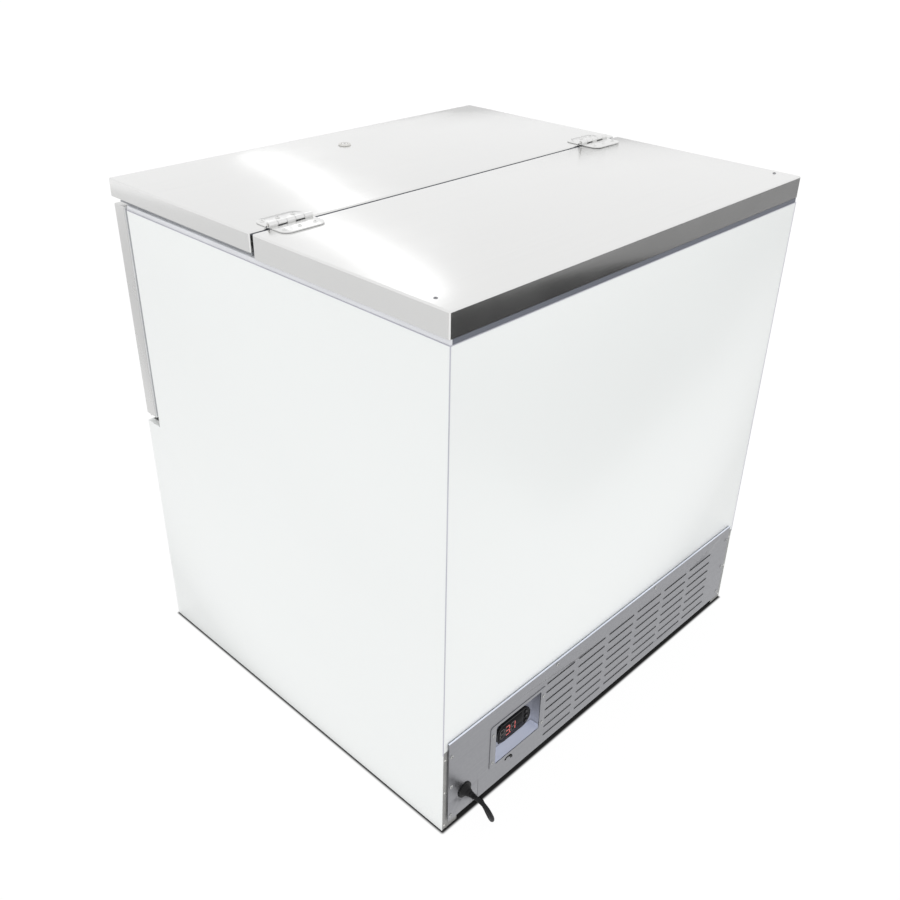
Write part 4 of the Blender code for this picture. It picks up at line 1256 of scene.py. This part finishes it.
def build_lids(scene):
    """Folded lid sheets with their foam, liners, seal and screws."""
    fold = scene.cooler_sheet.lid_fold
    for node, body in (("rear_lid_shell", CABINET), ("front_lid_shell", FRONT_LID)):
        low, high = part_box(node)
        bm = bmesh.new()
        add_pan(bm, low, high, fold, -AXIS_Z)
        skin = make_piece(node + "_part", bm, "brushed_steel", body, (node,))
        if body == FRONT_LID:
            barrel_low, barrel_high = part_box("lock_barrel")
            middle = (barrel_low + barrel_high) / 2
            hole = bmesh.new()
            radius = scene.cooler_sheet.lock_hole
            profile = [(radius, 0.0), (radius, 0.1)]
            add_turned(hole, profile, (middle.x, middle.y, low.z - 0.02), AXIS_Z, 40)
            carve(skin, cutter_from(hole))
    for side, body in (("rear", CABINET), ("front", FRONT_LID)):
        dress(f"{side}_lid_foam", "foam", body)
        dress(f"{side}_lid_liner", "liner_plastic", body)
    build_lid_seal()
    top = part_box("rear_lid_shell")[1].z
    corners = [(side * 0.4185, 0.3525, top - 0.0001) for side in (-1, 1)]
    screws("lid_screws", corners, AXIS_Z, CABINET, "grille_steel", 0.8)


def bellows(width, height):
    """Section of a soft seal: two foldable webs under a flat magnet strip."""
    half = width / 2
    shares = ((1.0, 0.0), (0.78, 0.22), (0.98, 0.45), (0.80, 0.66), (1.0, 0.82), (0.92, 1.0))
    right = [(half * x, height * z) for x, z in shares]
    return right + [(-x, z) for x, z in reversed(right)]


def build_lid_seal():
    low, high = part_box("front_lid_gasket")
    width = 0.013
    half = width / 2
    corners = [
        Vector((low.x + half, low.y + half, high.z)),
        Vector((high.x - half, low.y + half, high.z)),
        Vector((high.x - half, high.y - half, high.z)),
        Vector((low.x + half, high.y - half, high.z)),
    ]
    bm = bmesh.new()
    add_sweep(bm, corners, bellows(width, high.z - low.z), -AXIS_Z, True)
    make_piece("lid_seal", bm, "gasket_rubber", FRONT_LID, ("front_lid_gasket",))


# ---------------------------------------------------------------- lid hinges and lock


def leaf_outline(side, x_low, x_high, out, inner, tab, spans, corner):
    """A hinge leaf from above, with a tab at each of its knuckles."""
    points = [(x_low, side * inner)]
    for low, high in spans:
        points += [(low, side * inner), (low, side * tab), (high, side * tab), (high, side * inner)]
    points.append((x_high, side * inner))
    far = arc((x_high - corner, side * (out - corner)), corner, 0, side * 90, 12)
    near = arc((x_low + corner, side * (out - corner)), corner, side * 90, side * 180, 12)
    points += far + near
    steps = zip(points[1:], points)
    return points[:1] + [p for p, last in steps if (Vector(p) - Vector(last)).length > 1e-5]


def add_knuckle(bm, low, high, centre, settings):
    """One rolled knuckle, a short thick-walled tube with broken edges."""
    r, bore, chamfer = settings.barrel, settings.bore, 0.0003
    length = high - low
    profile = [(bore, 0), (r - chamfer, 0), (r, chamfer), (r, length - chamfer)]
    profile += [(r - chamfer, length), (bore, length), (bore, 0)]
    rings = turned_rings(profile, (low, centre.y, centre.z), AXIS_X, 28)
    add_rings(bm, rings, False, False)


def build_lid_hinges(scene):
    """Two butt hinges across the split, with countersunk screws."""
    settings = scene.cooler_hinge
    gap, knuckles = 0.0004, 5
    leaf_inner, tab_inner = 0.0055, 0.0010
    for side_name in ("right", "left"):
        base = f"lid_hinge_{side_name}"
        low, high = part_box(base + "_rear_leaf")
        pin_low, pin_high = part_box(base + "_pin")
        centre = (pin_low + pin_high) / 2
        pitch = (high.x - low.x) / knuckles
        spans = [
            (low.x + i * pitch + gap / 2, low.x + (i + 1) * pitch - gap / 2)
            for i in range(knuckles)
        ]
        plate_top, plate_low = 0.9281, 0.9263
        for side, chosen, part, body in (
            (1, spans[0::2], "rear_leaf", CABINET),
            (-1, spans[1::2], "front_leaf", FRONT_LID),
        ):
            outline = leaf_outline(
                side, low.x, high.x, high.y, leaf_inner, tab_inner, chosen, settings.leaf_corner
            )
            bm = bmesh.new()
            add_plate(bm, [outline], 2, plate_low, plate_top)
            soften(bm, 0.0004, 2, 60)
            for span in chosen:
                add_knuckle(bm, *span, centre, settings)
            node = f"{base}_{part}"
            make_piece(node + "_part", bm, "hinge_steel", body, (node,))
            places = [
                (centre.x + 0.003 + k * settings.screw_step, side * settings.screw_out, plate_top)
                for k in (-1, 0, 1)
            ]
            screws(f"{base}_{part}_screws", places, AXIS_Z, body, "hinge_steel", 0.95)
        radius = (pin_high.z - pin_low.z) / 2
        length = pin_high.x - pin_low.x
        dome = 0.0006
        profile = [(radius - dome, 0), (radius, dome), (radius, length - dome), (radius - dome, length)]
        bm = bmesh.new()
        add_turned(bm, profile, (pin_low.x, centre.y, centre.z), AXIS_X, 24)
        pin = base + "_pin"
        make_piece(pin + "_part", bm, "bright_zinc", CABINET, (pin,))


def build_lock(scene):
    """Round lid lock: escutcheon, barrel, key plug and cam."""
    low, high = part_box("lock_barrel")
    centre = Vector(((low.x + high.x) / 2, (low.y + high.y) / 2, 0))
    flange, bore, body_r = (high.x - low.x) / 2, 0.0062, 0.0095
    seat = high.z - 0.0030
    profile = [(bore, low.z), (body_r, low.z), (body_r, seat), (flange, seat)]
    steps = 6
    for i in range(steps + 1):
        angle = 0.5 * math.pi * i / steps
        profile.append((flange - 0.0028 * (1 - math.cos(angle)), seat + 0.003 * math.sin(angle)))
    profile += [(bore + 0.0008, high.z), (bore, high.z - 0.0008), (bore, low.z)]
    bm = bmesh.new()
    add_rings(bm, turned_rings(profile, centre, AXIS_Z, 48), False, False)
    make_piece("lock_barrel_part", bm, "bright_zinc", FRONT_LID, ("lock_barrel",))
    plug_low, plug_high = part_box("lock_plug")
    radius = (plug_high.x - plug_low.x) / 2
    edge = 0.0005
    profile = [(radius, plug_low.z), (radius, plug_high.z - edge)]
    profile += [(radius - edge, plug_high.z), (0.0002, plug_high.z)]
    bm = bmesh.new()
    add_turned(bm, profile, centre, AXIS_Z, 40)
    key_plug = make_piece("lock_plug_part", bm, "hinge_steel", LOCK, ("lock_plug",))
    slot = bmesh.new()
    deep = plug_high.z - 0.0040
    add_box(
        slot,
        (centre.x - 0.0007, centre.y - 0.0036, deep),
        (centre.x + 0.0007, centre.y + 0.0036, plug_high.z + 0.001),
    )
    carve(key_plug, cutter_from(slot))
    dress("lock_cam", "bright_zinc", LOCK, 0.0003)
    dress("lock_strike", "bright_zinc", DROP_DOOR, 0.0003)


# ---------------------------------------------------------------- drop door


def build_door(scene):
    """Folded door sheet, liner, seal on three sides and its long hinge."""
    low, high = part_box("door_shell")
    bm = bmesh.new()
    add_pan(bm, low, high, scene.cooler_sheet.door_fold, AXIS_Y)
    make_piece("door_shell_part", bm, "upright_steel", DROP_DOOR, ("door_shell",))
    dress("door_foam", "foam", DROP_DOOR)
    dress("door_liner", "liner_plastic", DROP_DOOR, 0.0007)
    low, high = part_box("door_gasket")
    width = 0.014
    half = width / 2
    path = [
        Vector((low.x + half, low.y, high.z)),
        Vector((low.x + half, low.y, low.z + half)),
        Vector((high.x - half, low.y, low.z + half)),
        Vector((high.x - half, low.y, high.z)),
    ]
    bm = bmesh.new()
    add_sweep(bm, path, bellows(width, high.y - low.y), AXIS_Y)
    make_piece("door_seal", bm, "gasket_rubber", DROP_DOOR, ("door_gasket",))
    dress("door_hinge_upper_leaf", "hinge_steel", DROP_DOOR)
    dress("door_hinge_lower_leaf", "hinge_steel", CABINET)
    dress("door_hinge_pin", "bright_zinc", CABINET)


# ---------------------------------------------------------------- service grille


def slot_places():
    """Middles of the air slots, on the same pitches as the holes in the panel."""
    first_x, pitch_x, columns = 0.1424, 0.0905, 6
    first_z, pitch_z, rows = 0.0385, 0.0206, 7
    return [
        (first_x - c * pitch_x, first_z + r * pitch_z) for c in range(columns) for r in range(rows)
    ]


def build_grille(scene):
    """Service panel with pressed slot rims, cord flap and screws."""
    dress("grille_panel", "grille_steel", CABINET)
    dress("cord_cover", "grille_steel", CABINET, 0.0003)
    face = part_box("grille_panel")[1].y
    bead, rise = 0.0009, 0.0005
    section = [
        (bead * 0.5 * math.cos(a), rise * math.sin(a) - 0.0001)
        for a in (math.radians(18 * i) for i in range(11))
    ]
    bm = bmesh.new()
    for centre in slot_places():
        line = oblong(centre, 0.0394 + bead / 2, 0.0016 + bead / 2, 8)
        path = [lift(point, 1, face) for point in line]
        path = [p for i, p in enumerate(path) if (p - path[i - 1]).length > 1e-6]
        add_sweep(bm, path, section, AXIS_Y, True)
    make_piece("slot_rims", bm, "grille_steel", CABINET)
    heights = (0.0315, 0.0995, 0.1680)
    places = [(0.4195, face, z) for z in heights] + [(-0.4095, face, z) for z in heights]
    places += [(x, face, 0.1905) for x in (-0.144, 0.156)]
    screws("grille_screws", places, AXIS_Y, CABINET, "galvanised")


# ---------------------------------------------------------------- controller


def build_controller(scene):
    """Recessed frame, thermostat face, window, figures and keys."""
    settings = scene.cooler_controller
    low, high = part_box("controller_bezel")
    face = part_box("grille_panel")[1].y
    side, edge, wall = 0.0118, 0.0040, 0.0020
    open_low = (low.x + side + wall, low.z + edge + wall)
    open_high = (high.x - side - wall, high.z - edge - wall)
    bm = bmesh.new()
    outline = round_rectangle((low.x, low.z), (high.x, high.z), 0.006, 8)
    window = round_rectangle(open_low, open_high, 0.003, 6)
    add_plate(bm, [outline, window], 1, face - 0.0006, high.y)
    soften(bm, 0.0009, 3, 60)
    make_piece("bezel_frame", bm, "grille_steel", CABINET)
    back = low.y + wall
    sill = 0.0065
    loops = (
        (high.y, 0.0, 0.0, 0.003),
        (high.y - 0.0012, 0.0, 0.0, 0.003),
        (back + 0.0015, 0.0004, sill, 0.003),
        (back + 0.0004, 0.0009, sill + 0.0006, 0.0028),
        (back, 0.0020, sill + 0.0018, 0.0022),
    )
    rings = []
    for y, inset, lifted, radius in loops:
        ring = round_rectangle(
            (open_low[0] + inset, open_low[1] + max(inset, lifted)),
            (open_high[0] - inset, open_high[1] - inset),
            radius,
            6,
        )
        rings.append([lift(point, 1, y) for point in ring])
    bm = bmesh.new()
    add_rings(bm, rings, False, True)
    # The tub's finish carries painted shade in its base colour, darker towards its ceiling
    make_piece("bezel_tub", bm, "bezel_plastic", CABINET, ("controller_bezel",))
    screw_x = (low.x + side * 0.55, high.x - side * 0.55)
    places = [(x, high.y, z) for x in screw_x for z in (0.0775, 0.1405)]
    screws("bezel_screws", places, AXIS_Y, CABINET, "galvanised", 0.9)
    dress("controller_case", "black_plastic", CABINET)
    low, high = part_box("controller_case")
    centre = ((low.x + high.x) / 2, (low.z + high.z) / 2)
    half = ((high.x - low.x) / 2, (high.z - low.z) / 2)
    build_face(settings, centre, half, high.y)
    for key, mark in (("up", 1), ("set", 0), ("down", -1)):
        build_key(key, mark)


def build_face(settings, centre, half, face):
    """Raised edge round the smoked window, and the figures behind it."""
    bm = bmesh.new()
    edge, rise = 0.0022, 0.0006
    section = [
        (edge * 0.5 * math.cos(a), rise * math.sin(a))
        for a in (math.radians(15 * i) for i in range(13))
    ]
    line = oblong(centre, half[0] - edge / 2, half[1] - edge / 2, 18)
    path = [lift(point, 1, face - 0.0001) for point in line]
    path = [p for i, p in enumerate(path) if (p - path[i - 1]).length > 1e-6]
    add_sweep(bm, path, section, AXIS_Y, True)
    make_piece("display_edge", bm, "black_plastic", CABINET)
    key_side = 0.0215
    low = (centre[0] - half[0] + key_side, centre[1] - half[1] + 0.0035)
    high = (centre[0] + half[0] - 0.0040, centre[1] + half[1] - 0.0035)
    bm = bmesh.new()
    add_plate(bm, [round_rectangle(low, high, 0.0035, 6)], 1, face - 0.0002, face + 0.0003)
    soften(bm, 0.0001, 2, 60)
    make_piece("display_window", bm, "display_glass", CABINET)
    build_figures(settings, centre[1], face + 0.0003)


# Which of the seven segments are lit, from the top clockwise, with the middle one last
LIT = {
    " ": (),
    "0": (0, 1, 2, 3, 4, 5),
    "1": (1, 2),
    "2": (0, 1, 6, 4, 3),
    "3": (0, 1, 2, 3, 6),
    "4": (5, 6, 1, 2),
    "5": (0, 5, 6, 2, 3),
    "6": (0, 5, 6, 2, 3, 4),
    "7": (0, 1, 2),
    "8": (0, 1, 2, 3, 4, 5, 6),
    "9": (0, 1, 2, 3, 5, 6),
    "-": (6,),
}


def segment_outline(start, end, width):
    """A flat bar with pointed ends between two points."""
    start, end = Vector(start), Vector(end)
    along = (end - start).normalized()
    aside = Vector((-along.y, along.x)) * width / 2
    inset = along * width / 2
    return [
        start,
        start + inset + aside,
        end - inset + aside,
        end,
        end - inset - aside,
        start + inset - aside,
    ]


def figure_segments(x, z, height):
    """The seven bars of one figure, seen from +Y, so that its left is towards +X."""
    wide, half, gap = height * 0.26, height / 2, height * 0.03
    top_left, top_right = (x + wide, z + half), (x - wide, z + half)
    left, right = (x + wide, z), (x - wide, z)
    low_left, low_right = (x + wide, z - half), (x - wide, z - half)
    pairs = (
        (top_left, top_right),
        (top_right, right),
        (right, low_right),
        (low_right, low_left),
        (low_left, left),
        (left, top_left),
        (left, right),
    )
    bars = []
    for start, end in pairs:
        start, end = Vector(start), Vector(end)
        inset = (end - start).normalized() * gap
        bars.append(segment_outline(start + inset, end - inset, height * 0.10))
    return bars


def build_figures(settings, z, face):
    height = settings.figure_height
    lit, unlit = [], []
    x = settings.first_figure
    for sign in settings.reading:
        if sign == ".":
            dot = (x + settings.figure_step * 0.5, z - height / 2)
            lit.append(arc(dot, height * 0.06, 0, 330, 12))
            continue
        for i, bar in enumerate(figure_segments(x, z, height)):
            (lit if i in LIT[sign] else unlit).append(bar)
        x -= settings.figure_step
    thick = 0.00012
    for name, bars, coat in (
        ("figures_lit", lit, "lit_segment"),
        ("figures_unlit", unlit, "unlit_segment"),
    ):
        bm = bmesh.new()
        for bar in bars:
            add_plate(bm, [bar], 1, face - thick / 2, face + thick)
        make_piece(name, bm, coat, CABINET)


def build_key(key, mark):
    """A domed push key with a raised mark."""
    node, body = f"key_{key}", f"{key}_key"
    low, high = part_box(node)
    middle = (low + high) / 2
    radius, tall = (high.x - low.x) / 2, high.y - low.y
    profile = [(radius, 0.0), (radius, tall * 0.7)]
    steps = 5
    for i in range(1, steps + 1):
        angle = 0.5 * math.pi * i / steps
        profile.append((radius - 0.0009 * (1 - math.cos(angle)), tall * (0.7 + 0.3 * math.sin(angle))))
    profile.append((0.0002, tall))
    bm = bmesh.new()
    add_turned(bm, profile, (middle.x, low.y, middle.z), AXIS_Y, 28)
    make_piece(node + "_part", bm, "black_rubber", body, (node,))
    size = radius * 0.42
    if mark:
        outline = [
            (middle.x - size, middle.z - mark * size * 0.7),
            (middle.x + size, middle.z - mark * size * 0.7),
            (middle.x, middle.z + mark * size),
        ]
    else:
        outline = round_rectangle(
            (middle.x - size * 0.7, middle.z - size * 0.7),
            (middle.x + size * 0.7, middle.z + size * 0.7),
            size * 0.3,
        )
    bm = bmesh.new()
    add_plate(bm, [outline], 1, high.y - 0.0001, high.y + 0.0001)
    make_piece(f"{node}_mark", bm, "key_mark", body)


# ---------------------------------------------------------------- cooling unit


def add_pipe(name, route, radius, coat):
    """A bent pipe along a smooth route."""
    data = bpy.data.curves.new(name, "CURVE")
    data.dimensions = "3D"
    data.bevel_depth = radius
    data.bevel_resolution = 4
    data.use_fill_caps = True
    points = smooth_through(route, 8)
    line = data.splines.new("POLY")
    line.points.add(len(points) - 1)
    for spot, point in zip(line.points, points):
        spot.co = (*point, 1.0)
    line.use_smooth = True
    pipe = bpy.data.objects.new(name, data)
    bpy.context.scene.collection.objects.link(pipe)
    data.materials.append(finish(coat))
    return settle(pipe, CABINET)


def build_cooling_unit(scene):
    """Compressor, condenser with its fins, fan and pipes."""
    dress("compressor", "black_enamel", CABINET)
    dress("compressor_bracket", "galvanised", CABINET, 0.0004)
    dress("condenser_coil", "copper", CABINET)
    dress("fan_shroud", "galvanised", CABINET)
    dress("fan_motor", "black_enamel", CABINET, 0.0006)
    dress("fan_blade", "black_plastic", "fan")
    low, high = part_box("condenser_coil")
    bm = bmesh.new()
    pitch, thick, margin = 0.0055, 0.0003, 0.012
    count = int((high.x - low.x - 2 * margin) / pitch)
    for i in range(count):
        x = low.x + margin + i * pitch
        add_box(bm, (x, low.y - 0.006, low.z - 0.003), (x + thick, high.y + 0.006, high.z + 0.003))
    make_piece("condenser_fins", bm, "galvanised", CABINET)
    shell_low, shell_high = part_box("compressor")
    x, y = (shell_low.x + shell_high.x) / 2, (shell_low.y + shell_high.y) / 2
    side = shell_high.x - 0.012
    out = [
        (side, y + 0.030, 0.150),
        (side + 0.025, y + 0.040, 0.152),
        (side + 0.045, y + 0.090, 0.140),
        (-0.135, 0.290, 0.080),
        (-0.128, 0.340, 0.045),
        (low.x - 0.002, 0.3550, 0.040),
    ]
    add_pipe("hot_gas_pipe", out, 0.0030, "copper")
    home = [
        (x + 0.010, shell_low.y + 0.014, 0.150),
        (x + 0.020, shell_low.y - 0.020, 0.155),
        (x + 0.060, shell_low.y - 0.050, 0.165),
        (x + 0.120, shell_low.y - 0.060, 0.190),
        (x + 0.150, shell_low.y - 0.060, 0.203),
    ]
    add_pipe("suction_pipe", home, 0.0042, "copper")


# ---------------------------------------------------------------- operators


class MakeStage(bpy.types.Operator):
    """Make the floor, the light and the flags"""

    bl_idname = "cooler.stage"
    bl_label = "Stage"

    def execute(self, context):
        build_stage(context.scene)
        return {"FINISHED"}


class MakeCamera(bpy.types.Operator):
    """Place the camera"""

    bl_idname = "cooler.camera"
    bl_label = "Camera"

    def execute(self, context):
        build_camera(context.scene)
        return {"FINISHED"}


class MakeCord(bpy.types.Operator):
    """Lay the mains cord with its bush, tie and plug"""

    bl_idname = "cooler.cord"
    bl_label = "Mains cord"

    def execute(self, context):
        build_cord(context.scene)
        return {"FINISHED"}


class MakePanels(bpy.types.Operator):
    """Finish the painted walls, rim, posts, base and feet"""

    bl_idname = "cooler.panels"
    bl_label = "Panels"

    def execute(self, context):
        build_panels(context.scene)
        return {"FINISHED"}


class MakeStorage(bpy.types.Operator):
    """Finish the tank, throat, insulation and drain"""

    bl_idname = "cooler.storage"
    bl_label = "Storage"

    def execute(self, context):
        build_storage(context.scene)
        return {"FINISHED"}


class MakeLids(bpy.types.Operator):
    """Fold the two lid sheets and fit their seal and screws"""

    bl_idname = "cooler.lids"
    bl_label = "Lids"

    def execute(self, context):
        build_lids(context.scene)
        return {"FINISHED"}


class MakeLidHinges(bpy.types.Operator):
    """Fit the two lid hinges"""

    bl_idname = "cooler.lid_hinges"
    bl_label = "Lid hinges"

    def execute(self, context):
        build_lid_hinges(context.scene)
        return {"FINISHED"}


class MakeLock(bpy.types.Operator):
    """Fit the lid lock and its strike"""

    bl_idname = "cooler.lock"
    bl_label = "Lid lock"

    def execute(self, context):
        build_lock(context.scene)
        return {"FINISHED"}


class MakeDoor(bpy.types.Operator):
    """Fold the drop door and fit its seal and hinge"""

    bl_idname = "cooler.door"
    bl_label = "Drop door"

    def execute(self, context):
        build_door(context.scene)
        return {"FINISHED"}


class MakeGrille(bpy.types.Operator):
    """Finish the service grille and its screws"""

    bl_idname = "cooler.grille"
    bl_label = "Service grille"

    def execute(self, context):
        build_grille(context.scene)
        return {"FINISHED"}


class MakeController(bpy.types.Operator):
    """Fit the thermostat, its frame, figures and keys"""

    bl_idname = "cooler.controller"
    bl_label = "Controller"

    def execute(self, context):
        build_controller(context.scene)
        return {"FINISHED"}


class MakeCoolingUnit(bpy.types.Operator):
    """Finish the compressor, condenser, fan and pipes"""

    bl_idname = "cooler.cooling_unit"
    bl_label = "Cooling unit"

    def execute(self, context):
        build_cooling_unit(context.scene)
        return {"FINISHED"}


STEPS = (
    MakeCamera,
    MakeCord,
    MakeStage,
    MakePanels,
    MakeStorage,
    MakeLids,
    MakeLidHinges,
    MakeLock,
    MakeDoor,
    MakeGrille,
    MakeController,
    MakeCoolingUnit,
)


class CoolerPanel(bpy.types.Panel):
    """Lists the steps and their settings"""

    bl_idname = "VIEW3D_PT_cooler"
    bl_label = "Chest cooler"
    bl_space_type = "VIEW_3D"
    bl_region_type = "UI"
    bl_category = "Cooler"

    def draw(self, context):
        for step in STEPS:
            self.layout.operator(step.bl_idname)
        for name, group in SETTINGS.items():
            box = self.layout.box()
            for setting in group.__annotations__:
                box.prop(getattr(context.scene, name), setting)


def register():
    for name, group in SETTINGS.items():
        bpy.utils.register_class(group)
        setattr(bpy.types.Scene, name, bpy.props.PointerProperty(type=group))
    for item in (*STEPS, CoolerPanel):
        bpy.utils.register_class(item)


def unregister():
    for item in (CoolerPanel, *reversed(STEPS)):
        bpy.utils.unregister_class(item)
    for name, group in SETTINGS.items():
        delattr(bpy.types.Scene, name)
        bpy.utils.unregister_class(group)


def main():
    register()
    for step in STEPS:
        group, action = step.bl_idname.split(".")
        getattr(getattr(bpy.ops, group), action)()


if __name__ == "__main__":
    main()
